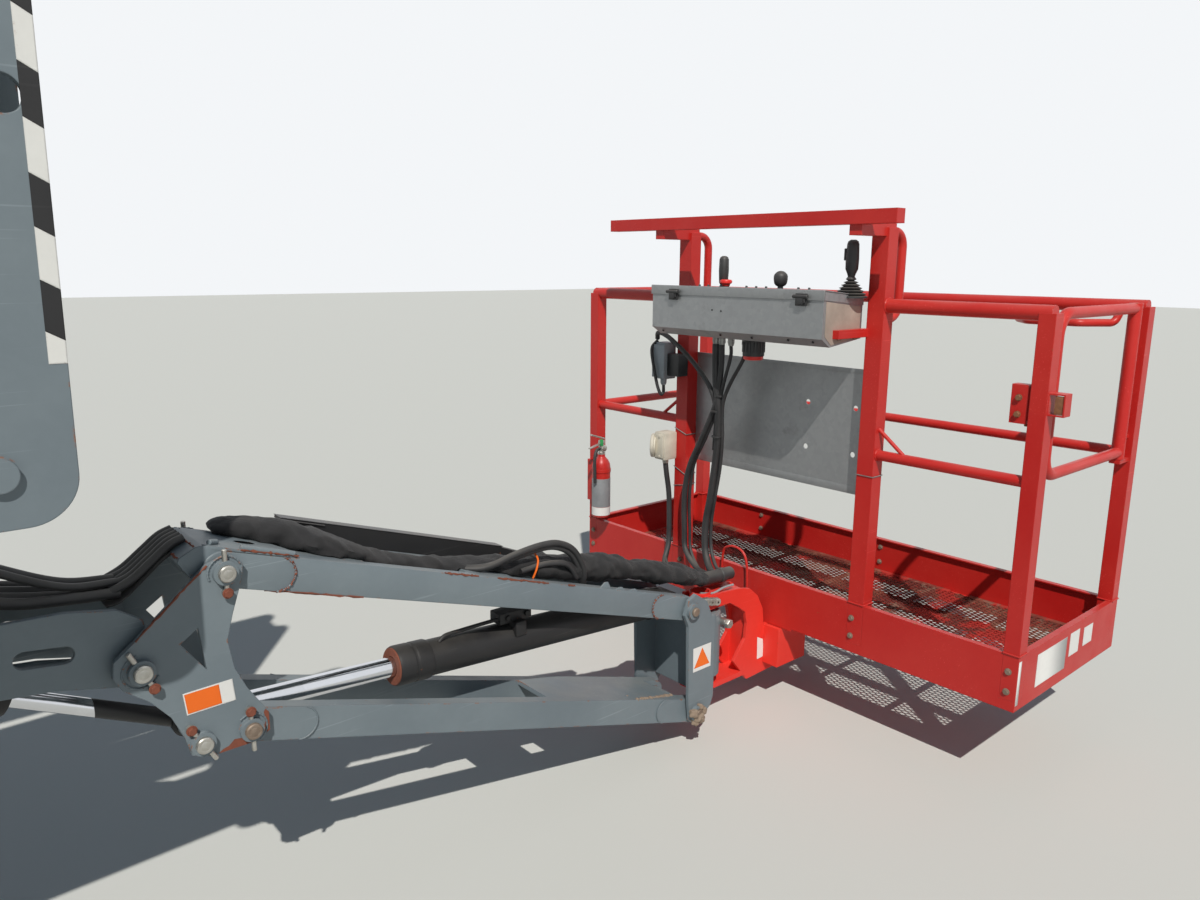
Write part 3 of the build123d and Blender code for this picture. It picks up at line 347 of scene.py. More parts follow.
DEVICE_GREY = moulded("relay_grey", (0.26, 0.29, 0.31), 0.5, 260.0, 0.2)
PLATE_GREY = moulded("plate_grey", (0.2, 0.21, 0.22), 0.45, 200.0, 0.1)
DARK_SHEET = moulded("dark_sheet", (0.085, 0.085, 0.088), 0.55, 200.0, 0.25)
SEAL_GREEN = moulded("seal_green", (0.02, 0.32, 0.08), 0.5, 200.0, 0.1)
BEIGE = moulded("beige_plastic", (0.46, 0.43, 0.36), 0.6, 220.0, 0.3)
AMBER = moulded("amber_lens", (0.85, 0.26, 0.015), 0.25, 200.0, 0.1)
RED_PLASTIC = moulded("red_plastic", (0.6, 0.02, 0.015), 0.4, 220.0, 0.1)
MUD = moulded("dried_mud", (0.2, 0.15, 0.11), 0.9, 120.0, 0.2, 0.002)
SLEEVE = woven("sleeve_cloth", (0.012, 0.012, 0.013))
MESH = rusted_mesh()

FINISH = {"grey_paint": GREY, "red_paint": RED, "black_paint": BLACK, "chrome_rod": CHROME, "tyre": RUBBER,
    "rim_paint": RIM, "engine_iron": IRON, "galvanised": ZINC, "sleeve_fabric": SLEEVE, "floor_mesh": MESH,
    "black_plastic": PLASTIC, "extinguisher_paint": BOTTLE_RED, "outlet_plastic": BEIGE,
    "cable_rubber": HOSE}
# The platform support takes the brighter red copy with painted sunlight
OWN_FINISH = {"platform_support": SUNLIT_RED, "level_cylinder_rod": LEVEL_CHROME}

for part in frame["record"]["subparts"]:
    slots = frame["nodes"][part["node"]].data.materials
    slots.clear()
    slots.append(OWN_FINISH.get(part["node"], FINISH[part["material_slot"]]))


# The slot whose finish a material carries, unless a piece names its own
SLOT_OF = {finish.name: slot for slot, finish in FINISH.items()}
SLOT_OF.update({finish.name: "galvanised" for finish in (BOLT_ZINC, BOLT_DULL, GLAND, DUSTY)})


def placed(name, mesh, body, material, slot):
    obj = bpy.data.objects.new(name, mesh)
    bpy.context.scene.collection.objects.link(obj)
    if body:
        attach(obj, body)
    slot = SLOT_OF.get(material.name) if slot is None else slot
    return obj


def circle(count):
    return [2 * pi * k / count for k in range(count + 1)]


class Build:
    def __init__(self):
        self.bm = bmesh.new()

    def ring(self, points):
        return [self.bm.verts.new(point) for point in points]

    def wall(self, a, b):
        faces = []
        for k in range(len(a)):
            j = (k + 1) % len(a)
            faces.append(self.bm.faces.new((a[k], a[j], b[j], b[k])))
        return faces

    def tube(self, rings):
        for a, b in zip(rings, rings[1:]):
            self.wall(a, b)
        self.bm.faces.new(rings[0][::-1])
        self.bm.faces.new(rings[-1])

    def block(self, low, high, bevel=0.0, turn=None, about=None):
        made = bmesh.ops.create_cube(self.bm, size=1.0)["verts"]
        size = Vector(high) - Vector(low)
        middle = (Vector(high) + Vector(low)) / 2
        for v in made:
            v.co = Vector(c * abs(d) for c, d in zip(v.co, size)) + middle
        return self.shape(made, bevel, turn, about or middle)

    def shape(self, verts, bevel=0.0, turn=None, about=None):
        if bevel:
            edges = list(dict.fromkeys(e for v in verts for e in v.link_edges))
            made = bmesh.ops.bevel(self.bm, geom=edges, offset=bevel, segments=2, affect="EDGES",
                profile=0.6)
            verts = [v for f in made["faces"] for v in f.verts] + [v for v in verts if v.is_valid]
            verts = list(dict.fromkeys(verts))
        if turn:
            matrix = Matrix.Rotation(turn[0], 4, turn[1])
            for v in verts:
                v.co = matrix @ (v.co - about) + about
        return verts

    def prism(self, outline, low, high, axis="y", bevel=0.0):
        def place(p, q, t):
            return {"x": (t, p, q), "y": (p, t, q), "z": (p, q, t)}[axis]
        a, b = [self.ring(place(p, q, t) for p, q in outline) for t in (low, high)]
        faces = [*self.wall(a, b), self.bm.faces.new(a[::-1]), self.bm.faces.new(b)]
        bmesh.ops.recalc_face_normals(self.bm, faces=faces)
        return self.shape(a + b, bevel)

    # An outline in the jib arm's own directions: along it and square to it
    def jib_prism(self, outline, low, high, bevel=0.0, base=P_TOP):
        points = [on_jib(d, h, 0, base) for d, h in outline]
        return self.prism([(p.x, p.z) for p in points], low, high, "y", bevel)

    def lathe(self, start, aim, profile, sides=24):
        aim = Vector(aim).normalized()
        side = aim.orthogonal().normalized()
        other = aim.cross(side)
        rings = []
        for along, radius in profile:
            centre = Vector(start) + aim * along
            turns = circle(sides)[:-1] if radius > 1e-6 else [0]
            rings.append(self.ring(centre + (side * cos(a) + other * sin(a)) * radius for a in turns))
        for a, b in zip(rings, rings[1:]):
            if len(a) == len(b):
                self.wall(a, b)
                continue
            for k in range(sides):
                j = (k + 1) % sides
                self.bm.faces.new((a[0], b[j], b[k]) if len(a) == 1 else (a[k], a[j], b[0]))

    # A lathe shape closed on its axis at both ends
    def turned(self, start, aim, profile, sides=24):
        self.lathe(start, aim, [(profile[0][0], 0), *profile, (profile[-1][0], 0)], sides)

    def rod(self, a, b, radius, sides=16, chamfer=0.0):
        length = (Vector(b) - Vector(a)).length
        profile = [(0, radius), (length, radius)]
        if chamfer:
            profile = [(0, radius - chamfer), (chamfer, radius), (length - chamfer, radius),
                (length, radius - chamfer)]
        self.turned(a, Vector(b) - Vector(a), profile, sides)

    def hose(self, points, radius, sides=10, steps=8, swell=lambda t, angle: 1):
        path = smooth_path(points, steps)
        rings = []
        for i, (p, (side, other)) in enumerate(zip(path, carried_frames(path))):
            t = i / (len(path) - 1)
            rings.append(self.ring(p + (side * cos(a) + other * sin(a)) * radius * swell(t, a)
                for a in circle(sides)[:-1]))
        self.tube(rings)

    def loop(self, points, radius, sides=6):
        for p, q in zip(points, points[1:]):
            self.rod(p, q, radius, sides)

    def hex(self, at, aim, across, height, washer=0.0):
        aim = Vector(aim).normalized()
        at = Vector(at)
        if washer:
            self.turned(at, aim, [(0, washer), (0.0025, washer)], 20)
            at = at + aim * 0.0025
        r = across / sqrt(3)
        self.turned(at, aim, [(0, r), (height * 0.8, r), (height, r * 0.86)], 6)

    def mesh(self, name, angle=38):
        bmesh.ops.recalc_face_normals(self.bm, faces=self.bm.faces[:])
        for face in self.bm.faces:
            face.smooth = True
        for edge in self.bm.edges:
            if len(edge.link_faces) == 2:
                edge.smooth = edge.calc_face_angle() < radians(angle)
        mesh = bpy.data.meshes.new(name)
        self.bm.to_mesh(mesh)
        self.bm.free()
        return mesh

    def finish(self, name, body, material, slot=None, angle=38):
        mesh = self.mesh(name, angle)
        mesh.materials.append(material)
        return placed(name, mesh, body, material, slot)


def smooth_path(points, steps=8):
    points = [Vector(p) for p in points]
    if len(points) < 3:
        return points
    ends = [points[0] * 2 - points[1]] + points + [points[-1] * 2 - points[-2]]
    path = []
    for a, b, c, d in zip(ends, ends[1:], ends[2:], ends[3:]):
        for k in range(steps):
            t = k / steps
            bend = (2 * a - 5 * b + 4 * c - d) * t * t + (3 * b - a - 3 * c + d) * t ** 3
            path.append(0.5 * (2 * b + (c - a) * t + bend))
    return path + [points[-1]]


def carried_frames(path):
    tangents = [(b - a).normalized() for a, b in zip(path, path[1:])]
    tangents.append(tangents[-1])
    side = tangents[0].orthogonal().normalized()
    frames = []
    for tangent in tangents:
        side = (side - tangent * side.dot(tangent)).normalized()
        frames.append((side, tangent.cross(side)))
    return frames


# Geometry Nodes: one shape set on every point of a cloud, turned to the point's aim
def scatter_tree():
    tree = bpy.data.node_groups.new("set_on_points", "GeometryNodeTree")
    for label, kind in (("Points", "Geometry"), ("Shape", "Object"), ("Scale", "Float"),
            ("Finish", "Material")):
        tree.interface.new_socket(label, in_out="INPUT", socket_type="NodeSocket" + kind)
    tree.interface.new_socket("Geometry", in_out="OUTPUT", socket_type="NodeSocketGeometry")
    s = Shade(tree)
    given = s.add("NodeGroupInput").outputs
    shape = s.add("GeometryNodeObjectInfo", {"Object": given["Shape"], "As Instance": True})
    aim, side = [s.add("GeometryNodeInputNamedAttribute", {"Name": name},
        data_type="FLOAT_VECTOR").outputs[0] for name in ("aim", "side")]
    turn = s.add("FunctionNodeAlignRotationToVector", {"Vector": aim}, axis="Z").outputs[0]
    turn = s.add("FunctionNodeAlignRotationToVector", {"Rotation": turn, "Vector": side}, axis="X",
        pivot_axis="Z")
    spots = s.add("GeometryNodeInstanceOnPoints", {"Points": given["Points"],
        "Instance": shape.outputs["Geometry"], "Rotation": turn.outputs[0], "Scale": given["Scale"]})
    solid = s.add("GeometryNodeRealizeInstances", {0: spots.outputs[0]})
    paint = s.add("GeometryNodeSetMaterial", {"Geometry": solid.outputs[0], "Material": given["Finish"]})
    s.add("NodeGroupOutput", {0: paint.outputs[0]})
    return tree


SCATTER = scatter_tree()
SOCKETS = {item.name: item.identifier for item in SCATTER.interface.items_tree if item.in_out == "INPUT"}


def scatter(name, body, material, shape, spots, scale=1.0, slot=None):
    cloud = bpy.data.meshes.new(name + "_points")
    spots = [(*spot, Vector(spot[1]).orthogonal())[:3] for spot in spots]
    cloud.from_pydata([tuple(spot[0]) for spot in spots], [], [])
    for number, label in ((1, "aim"), (2, "side")):
        way = cloud.attributes.new(label, "FLOAT_VECTOR", "POINT")
        way.data.foreach_set("vector", [c for spot in spots for c in spot[number]])
    holder = bpy.data.objects.new(name + "_holder", cloud)
    bpy.context.scene.collection.objects.link(holder)
    modifier = holder.modifiers.new("set_on_points", "NODES")
    modifier.node_group = SCATTER
    for label, value in (("Shape", shape), ("Scale", scale), ("Finish", material)):
        modifier[SOCKETS[label]] = value
    evaluated = holder.evaluated_get(bpy.context.evaluated_depsgraph_get())
    mesh = bpy.data.meshes.new_from_object(evaluated)
    holder.modifiers.clear()
    bpy.data.objects.remove(holder)
    return placed(name, mesh, body, material, slot)


def template(name, build):
    return bpy.data.objects.new(name, build.mesh(name))


def bolt_shape():
    b = Build()
    b.turned((0, 0, 0), (0, 0, 1), [(0, 1.25), (0.14, 1.25), (0.17, 1.2)], 20)
    b.turned((0, 0, 0.17), (0, 0, 1), [(0, 1.0), (0.55, 1.0), (0.68, 0.86)], 6)
    return template("bolt_shape", b)


BOLT = bolt_shape()


# Expanded metal floor: one cell of crossed strands, set on every cell clear of the posts
CELL_X, CELL_Y = 0.0185, 0.038
STRAND_HALF, STRAND_RISE = 0.0027, 0.006


def cell_shape():
    b = Build()
    rise = Vector((0, 0, STRAND_RISE))
    for side in (-1, 1):
        low = Vector((-side * CELL_X / 2, -CELL_Y / 2, 0))
        high = -low
        flat = Vector((0, 0, 1)).cross(high - low).normalized() * STRAND_HALF
        ring = [low - flat, high - flat, high + flat, low + flat]
        under = [p + rise * lift for p, lift in zip(ring, (0, 0, 0.35, 0.35))]
        over = [p + rise * lift for p, lift in zip(ring, (0.65, 0.65, 1, 1))]
        b.tube([b.ring(under), b.ring(over)])
    return template("cell_shape", b)


def mesh_floor():
    top = FLOOR_Z + 0.036
    count_x = int((FRONT - BACK - 0.024) / CELL_X)
    count_y = int((2 * HALF_W - 0.024) / CELL_Y)
    x0 = (BACK + FRONT) / 2 - count_x * CELL_X / 2
    y0 = -count_y * CELL_Y / 2
    spots = []
    for i in range(count_x):
        for j in range(count_y):
            x, y = x0 + (i + 0.5) * CELL_X, y0 + (j + 0.5) * CELL_Y
            corner = abs(y) > POST_Y - 0.045 and not BACK + 0.058 < x < FRONT - 0.058
            tall = abs(abs(y) - TALL_Y) < 0.05 and x < BACK + 0.062
            if not corner and not tall:
                spots.append(((x, y, top - 0.0062), UP, AHEAD))
    piece = scatter("expanded_floor", "platform", MESH, cell_shape(), spots)
    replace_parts(piece, "platform_floor")
    b = Build()
    for y in (-0.61, -0.305, 0.0, 0.305, 0.61):
        b.block((BACK + 0.008, y - 0.014, FLOOR_Z + 0.0302), (FRONT - 0.008, y + 0.014, top - 0.0036),
            0.001)
    for y in (-HALF_W + 0.006, HALF_W - 0.028):
        b.block((BACK + 0.052, y, top - 0.004), (FRONT - 0.052, y + 0.022, top - 0.0002), 0.001)
    for x in (BACK + 0.006, FRONT - 0.028):
        for y0, y1 in ((-0.86, -0.43), (-0.355, 0.355), (0.43, 0.86)):
            b.block((x, y0, top - 0.004), (x + 0.022, y1, top - 0.0002), 0.001)
    b.finish("floor_bearers", "platform", MESH)


mesh_floor()


# Bolts through the kick plates
def kick_bolts():
    spots = []
    for z in (FLOOR_Z + 0.055, FLOOR_Z + 0.115):
        for y in (-0.889, 0.889, TALL_Y - 0.012, -TALL_Y + 0.012):
            spots.append(((BACK, y, z), BACKWARD))
        for y in (-0.889, 0.889, TALL_Y + 0.3, -TALL_Y - 0.03):
            spots.append(((FRONT, y, z), AHEAD))
        for y in (-0.62, -0.05, 0.55):
            spots.append(((FRONT - 0.005, y, z + 0.012), BACKWARD))
    scatter("kick_plate_bolts", "platform", BOLT_DULL, BOLT, spots, 0.008)


kick_bolts()


# Blank labels on the platform's end, each a thin plate a little smaller in front
def end_labels():
    y = -HALF_W
    boxes = [(2.773, 2.973, 0.337, 0.438), (2.995, 3.063, 0.366, 0.441), (3.096, 3.163, 0.372, 0.433)]
    for number, (x0, x1, z0, z1) in enumerate(boxes, 1):
        b = Build()
        corners = [Vector(c) for c in ((x0, y, z0), (x1, y, z0), (x1, y, z1), (x0, y, z1))]
        middle = sum(corners, Vector()) / len(corners)
        front = [c + Vector((0, -0.0006, 0)) + (middle - c) * 0.012 for c in corners]
        b.tube([b.ring(corners), b.ring(front)])
        b.finish("end_label_%d" % number, "platform", LABEL)
    b = Build()
    b.block((BACK + 0.004, y - 0.0007, FLOOR_Z + 0.018), (BACK + 0.02, y, FLOOR_Z + 0.15), 0.0002)
    b.finish("end_label_strip", "platform", LABEL)


end_labels()


def strip(name, body, quads, y, material, thick=0.0006):
    b = Build()
    for quad in quads:
        b.prism(quad, y, y + (thick if y > 0 else -thick))
    return b.finish(name, body, material)


def rust_seam(b, points, radius, seed):
    b.hose(points, radius, 6, 10, lambda t, a: max(0.1, 0.75 + 1.5 * noise.noise(Vector((t * 23, a,
        seed)))))


# Warning stripes on the front edges of the outer link plates
def stripes():
    top, pitch, lowest, wide, slant = 1.9235, 0.0715, 1.377, 0.024, 0.014

    def edge(z):
        return 0.522 + 0.008 * (z - 1.146) / 0.849

    levels = [top - pitch * k for k in range(8)] + [lowest]
    bands = []
    for a, b in zip(levels, levels[1:]):
        bands.append([(edge(a) - wide, a), (edge(a), a - slant), (edge(b), b - slant), (edge(b) - wide, b)])
    bands[-1][2:] = [(edge(lowest), lowest), (edge(lowest) - wide, lowest)]
    for side in (-1, 1):
        tag = "right" if side < 0 else "left"
        strip("link_stripes_white_" + tag, "mid_links", bands[1::2], side * LINK_FACE, WHITE_PAINT)
        strip("link_stripes_black_" + tag, "mid_links", bands[0::2], side * LINK_FACE, BLACK_PAINT)


stripes()


# Pins of the jib: round heads, each with a keeper bar through to its bolt
KEEPERS = [(P_TOP, (0.0, -1.0)), (P_TIP, (0.44, -0.9)), (P_LOW, (-0.03, 1.0)), (P_LEVEL, (-0.49, 0.87))]
HEAD_PROFILE = [(0, 0), (0, 0.0175), (0.007, 0.0175), (0.0095, 0.0155), (0.01, 0.012), (0.0094, 0.01),
    (0.01, 0.0085), (0.01, 0)]
CAP_PROFILE = [(0, 0), (0, 0.014), (0.006, 0.014), (0.0085, 0.0115), (0.0085, 0)]


def jib_pins():
    heads, bars, low, ends, bolts = Build(), Build(), Build(), Build(), []
    for side in (-1, 1):
        out = Vector((0, side, 0))
        for pin, (dx, dz) in KEEPERS:
            at = Vector((pin.x, side * PIN_FACE, pin.z))
            (low if pin is P_LOW else heads).lathe(at, out, HEAD_PROFILE, 28)
            step = Vector((dx, 0, dz)).normalized()
            at = at - out * 0.0058
            bars.rod(at - step * 0.048, at + step * 0.052, 0.0052, 12, 0.001)
            bars.rod(at + step * 0.042 - out * 0.0064, at + step * 0.042 + out * 0.0042, 0.0095, 16, 0.001)
            bolts.append((tuple(at + step * 0.042 + out * 0.0042), tuple(out)))
        ends.lathe(Vector((P_HEAD.x, side * PIN_FACE, P_HEAD.z)), out, CAP_PROFILE, 24)
        ends.lathe(Vector((P_HEAD_LOW.x, side * PIN_FACE, P_HEAD_LOW.z)), out, HEAD_PROFILE, 28)
    heads.finish("jib_pin_heads", "jib_bracket", BOLT_ZINC)
    bars.finish("jib_pin_keepers", "jib_bracket", BOLT_ZINC)
    ends.finish("jib_head_pin_ends", "jib_head", BOLT_DULL)
    low.finish("jib_low_pin_heads", "jib_bracket", BOLT_DULL)
    scatter("jib_keeper_bolts", "jib_bracket", BOLT_RUST, BOLT, bolts, 0.0088, slot="galvanised")
    welds = Build()
    for side in (-1, 1):
        y = side * 0.1245
        for at, start, end, r in ((P_TOP, 20, 200, 0.033), (P_TIP, 100, 330, 0.034),
                (P_LOW, -80, 130, 0.033)):
            angles = [radians(start + (end - start) * k / 14) for k in range(15)]
            welds.hose([(at.x + r * cos(a), y, at.z + r * sin(a)) for a in angles], 0.0022, 6, 4,
                lambda t, a: 1 + 0.25 * sin(t * 90))
    welds.finish("jib_bracket_welds", "jib_bracket", GREY)


jib_pins()


# Blank plates where the photograph shows signs
def blank_plates():
    quad = [(0.714, 0.683), (0.811, 0.686), (0.815, 0.638), (0.719, 0.635)]

    def on(u, v):
        a, b, c, d = [Vector(p) for p in quad]
        top, low = a.lerp(b, u), d.lerp(c, u)
        return tuple(top.lerp(low, v))

    strip("bracket_plate", "jib_bracket", [quad], -0.124, LABEL)
    tint = [on(0.025, 0.06), on(0.715, 0.06), on(0.715, 0.94), on(0.025, 0.94)]
    strip("bracket_plate_tint", "jib_bracket", [tint], -0.1246, ORANGE, 0.0003)
    head = [(2.191, 0.352), (2.273, 0.352), (2.273, 0.272), (2.193, 0.272)]
    strip("head_plate", "jib_head", [head], -0.124, LABEL)
    strip("head_plate_tint", "jib_head", [[(2.232, 0.346), (2.267, 0.284), (2.197, 0.284)]], -0.1246,
        ORANGE, 0.0003)
    b = Build()
    for side in (-1, 1):
        rust_seam(b, [(0.6402, side * 0.1236, 0.8138), (0.7272, side * 0.1236, 0.8896),
            (0.7802, side * 0.1236, 0.9344)], 0.0026, side)
    b.finish("bracket_edge_rust", "jib_bracket", BOLT_RUST)
    patch = [(0.772, 0.5326), (0.85, 0.5326), (0.8796, 0.5486), (0.8796, 0.59), (0.873, 0.5985),
        (0.869, 0.592), (0.8725, 0.575), (0.868, 0.558), (0.858, 0.549), (0.846, 0.5455), (0.836, 0.551),
        (0.826, 0.555), (0.82, 0.55), (0.806, 0.5525), (0.794, 0.542), (0.782, 0.539)]
    strip("bracket_rust", "jib_bracket", [patch], -0.1241, BOLT_RUST, 0.0004)
    strip("support_plate", "platform", [[(2.601, 0.252), (2.632, 0.236), (2.64, 0.17), (2.604, 0.168)]],
        -0.046, LABEL)


blank_plates()


# Cloth sleeve over the jib's hoses, lying flat in folds between the tubes of the upper arm
def cloth_tube(stations, sides=32, steps=10):
    b = Build()
    path = smooth_path([s[:3] for s in stations], steps)
    sizes = smooth_path([(s[3], s[4], 0) for s in stations], steps)
    rings = []
    for i, (p, size) in enumerate(zip(path, sizes)):
        run = (path[min(i + 1, len(path) - 1)] - path[max(i - 1, 0)]).normalized()
        side = Vector((-run.y, run.x, 0)).normalized()
        over = run.cross(side)
        over = over if over.z > 0 else -over
        ring = []
        for angle in circle(sides)[:-1]:
            out = side * cos(angle) * size.x + over * sin(angle) * size.y
            at = p + out
            lump = noise.noise(at * 13.0) * 0.26 + noise.noise(at * 31.0 + Vector((3, 1, 2))) * 0.2
            twist = noise.noise(Vector((at.x * 19, angle * 1.1, at.z * 9)))
            fold = (1 - abs(twist)) ** 4 * 0.13 - 0.05
            ring.append(on_arm(p + out * (1 + lump + fold)))
        rings.append(b.ring(ring))
    b.tube(rings)
    return b


def on_arm(at):
    rel = at - P_TOP
    d = rel.x * cos(JIB_SLOPE) + rel.z * sin(JIB_SLOPE)
    h = -rel.x * sin(JIB_SLOPE) + rel.z * cos(JIB_SLOPE)
    low = 0.0455 if d < 0.15 else 0.0385 if abs(at.y) > 0.058 or d < 0.34 or 0.61 < d < 0.77 else 0.004
    if h < low:
        at = at + Vector((-sin(JIB_SLOPE), 0, cos(JIB_SLOPE))) * (low - h)
    return at


def sleeve():
    # along the arm, top above its axis, across, half width, half height
    rows = [(0.018, 0.06, 0.06, 0.03, 0.01), (0.032, 0.072, 0.058, 0.04, 0.016),
        (0.06, 0.081, 0.054, 0.048, 0.022), (0.11, 0.087, 0.046, 0.054, 0.026),
        (0.16, 0.09, 0.03, 0.06, 0.029), (0.22, 0.085, 0.012, 0.07, 0.028),
        (0.275, 0.075, 0.004, 0.07, 0.024), (0.333, 0.063, 0.004, 0.064, 0.022),
        (0.375, 0.056, 0.006, 0.052, 0.024), (0.45, 0.052, 0.01, 0.05, 0.028),
        (0.55, 0.049, 0.012, 0.05, 0.028), (0.64, 0.056, 0.01, 0.048, 0.02),
        (0.7, 0.06, 0.008, 0.048, 0.02), (0.76, 0.072, 0.006, 0.052, 0.024),
        (0.83, 0.087, 0.002, 0.056, 0.03), (0.92, 0.096, 0.0, 0.058, 0.034),
        (1.02, 0.101, 0.0, 0.056, 0.034), (1.08, 0.112, 0.0, 0.052, 0.036), (1.14, 0.122, 0.0, 0.05, 0.038),
        (1.2, 0.112, 0.0, 0.046, 0.031), (1.265, 0.109, 0.0, 0.042, 0.027),
        (1.33, 0.116, 0.0, 0.046, 0.032), (1.4, 0.119, 0.0, 0.048, 0.034), (1.46, 0.118, 0.0, 0.046, 0.032),
        (1.52, 0.112, 0.0, 0.04, 0.028), (1.57, 0.105, 0.0, 0.034, 0.024), (1.6, 0.1, 0.0, 0.028, 0.02)]
    stations = [(*on_jib(d, top - tall, y), wide, tall) for d, top, y, wide, tall in rows]
    piece = cloth_tube(stations).finish("jib_sleeve_cloth", None, SLEEVE, angle=70)
    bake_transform(piece)
    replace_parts(piece, "jib_hose_sleeve")
    b = Build()
    for high, y in ((0.0, -0.058), (-0.013, -0.05)):
        b.hose([on_jib(0.63, 0.036, y + 0.03), on_jib(0.68, 0.052, y), on_jib(0.76, 0.094 + high, y),
            on_jib(0.84, 0.128 + high, y), on_jib(0.9, 0.14 + high, y), on_jib(0.96, 0.126 + high, y),
            on_jib(1.01, 0.08 + high, y), on_jib(1.035, 0.034, y + 0.012)], 0.0085, 12, 8)
    b.hose([on_jib(0.8, 0.05, -0.05), on_jib(0.88, 0.08, -0.054), on_jib(0.95, 0.084, -0.056),
        on_jib(1.0, 0.05, -0.05)], 0.0075, 12, 8)
    b.finish("jib_hose_loops", "jib_upper_arm", HOSE)
    tie = Build()
    tie.hose([on_jib(0.835, 0.038, -0.064), on_jib(0.838, 0.065, -0.066), on_jib(0.842, 0.09, -0.056),
        on_jib(0.845, 0.102, -0.024), on_jib(0.846, 0.1, 0.01)], 0.003, 6, 6)
    tie.finish("jib_hose_tie", "jib_upper_arm", ORANGE)


sleeve()


# Hoses from the fly over the boom's tip, on a flexible guide
def tip_hoses():
    b = Build()
    for k in range(4):
        y = -0.048 + 0.03 * k
        b.hose([(0.262, y, 1.012), (0.33, y, 0.985), (0.4, y * 0.9, 0.935),
            (0.47, y * 0.9, 0.908 + 0.004 * k), (0.56, y * 0.9, 0.896), (0.64, y * 0.8, 0.888)],
            0.011 - 0.001 * (k % 2), 12, 8)
    for y, r in ((-0.03, 0.008), (0.006, 0.009)):
        b.hose([(0.262, y, 1.04), (0.36, y, 1.025), (0.45, y, 0.968), (0.55, y, 0.918),
            (0.64, y * 0.7, 0.905)], r, 12, 8)
    piece = b.finish("tip_hoses", None, HOSE)
    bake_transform(piece)
    b = Build()
    for k in range(5):
        y = -0.04 + 0.02 * k
        b.hose([(0.625, y, 0.892 + 0.006 * (k % 2)), (0.665, y, 0.91), (0.705, y, 0.94), (0.738, y, 0.965),
            (0.765, y, 0.975)], 0.0092, 12, 8)
    piece = b.finish("tip_hoses_upper", None, HOSE)
    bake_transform(piece)
    b = Build()
    path = smooth_path([(0.612, 0, 0.868), (0.64, 0, 0.874), (0.68, 0, 0.906), (0.715, 0, 0.936),
        (0.738, 0, 0.952)], 6)
    for a, c in zip(path, path[1:]):
        along = (c - a).normalized()
        up = Vector((-along.z, 0, along.x)) * 0.003
        low = [Vector((p.x, y, p.z)) for p, y in ((a, -0.056), (c, -0.056), (c, 0.056), (a, 0.056))]
        b.tube([b.ring(low), b.ring(p + up for p in low)])
    bmesh.ops.remove_doubles(b.bm, verts=b.bm.verts[:], dist=0.0002)
    piece = b.finish("tip_hose_guide", None, PLASTIC)
    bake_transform(piece)


tip_hoses()


# Jib cylinder: collar with a rusty face, port block and its pipe
def jib_cylinder_parts():
    start, end = P_HEAD, P_LOW
    aim = (end - start).normalized()
    up = Vector((-aim.z, 0, aim.x))
    up = up if up.z > 0 else -up
    b = Build()
    b.lathe(start + aim * 0.858, aim, [(0, 0.0462), (0, 0.049), (0.004, 0.0505), (0.04, 0.0505),
        (0.042, 0.0485), (0.048, 0.0485), (0.05, 0.0505), (0.086, 0.0505), (0.0925, 0.048),
        (0.0925, 0.0462)], 40)
    b.lathe(start + aim * 0.06, aim, [(0, 0.0462), (0, 0.0495), (0.022, 0.0495), (0.024, 0.0462)], 40)
    port = start + aim * 0.594 + up * 0.046
    for low, high, r in (((-0.016, -0.0475, -0.026), (0.018, 0.01, 0.014), 0.002),
            ((-0.052, -0.024, 0.008), (0.052, 0.024, 0.039), 0.003)):
        b.block(port + Vector(low), port + Vector(high), r)
    for dx in (-0.028, 0.034):
        b.hex(port + Vector((dx, -0.024, 0.025)), (0, -1, 0), 0.014, 0.007)
    b.hose([port + Vector((-0.04, -0.01, 0.022)), port + aim * 0.09 + up * 0.018 + Vector((0, -0.012, 0)),
        port + aim * 0.17 + up * 0.014 + Vector((0, -0.014, 0)), port + aim * 0.215 + up * 0.01 + Vector((0,
        -0.014, 0)), port + aim * 0.235 - up * 0.004 + Vector((0, -0.014, 0))], 0.0055, 10, 8)
    b.finish("jib_cylinder_fittings", "jib_barrel", BLACK)
    b = Build()
    face = start + aim * 0.9505
    b.lathe(face, aim, [(-0.004, 0.047), (0.0, 0.047), (0.003, 0.0455), (0.003, 0.03), (0.0022, 0.0285),
        (0.0022, 0.0262), (-0.004, 0.0262)], 40)
    for k in range(4):
        angle = pi / 2 * k + 0.5
        spot = face + Vector((0, cos(angle), 0)) * 0.038 + up * sin(angle) * 0.038 + aim * 0.0032
        b.turned(spot, aim, [(0, 0.0038), (0.0008, 0.0032)], 10)
    b.finish("jib_cylinder_gland_face", "jib_barrel", BOLT_RUST, slot="black_paint")


jib_cylinder_parts()


# Upper jib arm: a pair of tubes with rounded doublers, closing plates and a bent cover with an oval hole
def stadium(d0, d1, radius):
    half_turn = circle(28)[:15]
    return [(d + way * radius * sin(a), -way * radius * cos(a)) for d, way in ((d0, -1), (d1, 1))
        for a in half_turn]


def sheet_with_hole(b, outline, hole, low, high):
    loops = []
    middle = sum((Vector(p) for p in hole), Vector((0, 0))) / len(hole)
    for h, wide in ((low, 2.0), (high, 1.0)):
        mouth = [middle + (Vector(p) - middle) * wide for p in hole]
        loops.append([b.ring(on_jib(d, h, y) for d, y in ring) for ring in (outline, mouth)])
    for a, c in (*loops, *zip(*loops)):
        b.wall(a, c)


# The rounded inner edge of the doubler at the arm's foot (turn -1) or at its head (turn 1)
def doubler_edge(turn, y, base=P_TOP):
    middle = 0.718 + turn * 0.598
    bend = [radians(-84 + 14 * k) for k in range(13)]
    return [on_jib(middle - turn * 0.037 * cos(a), 0.037 * sin(a), y, base) for a in bend]


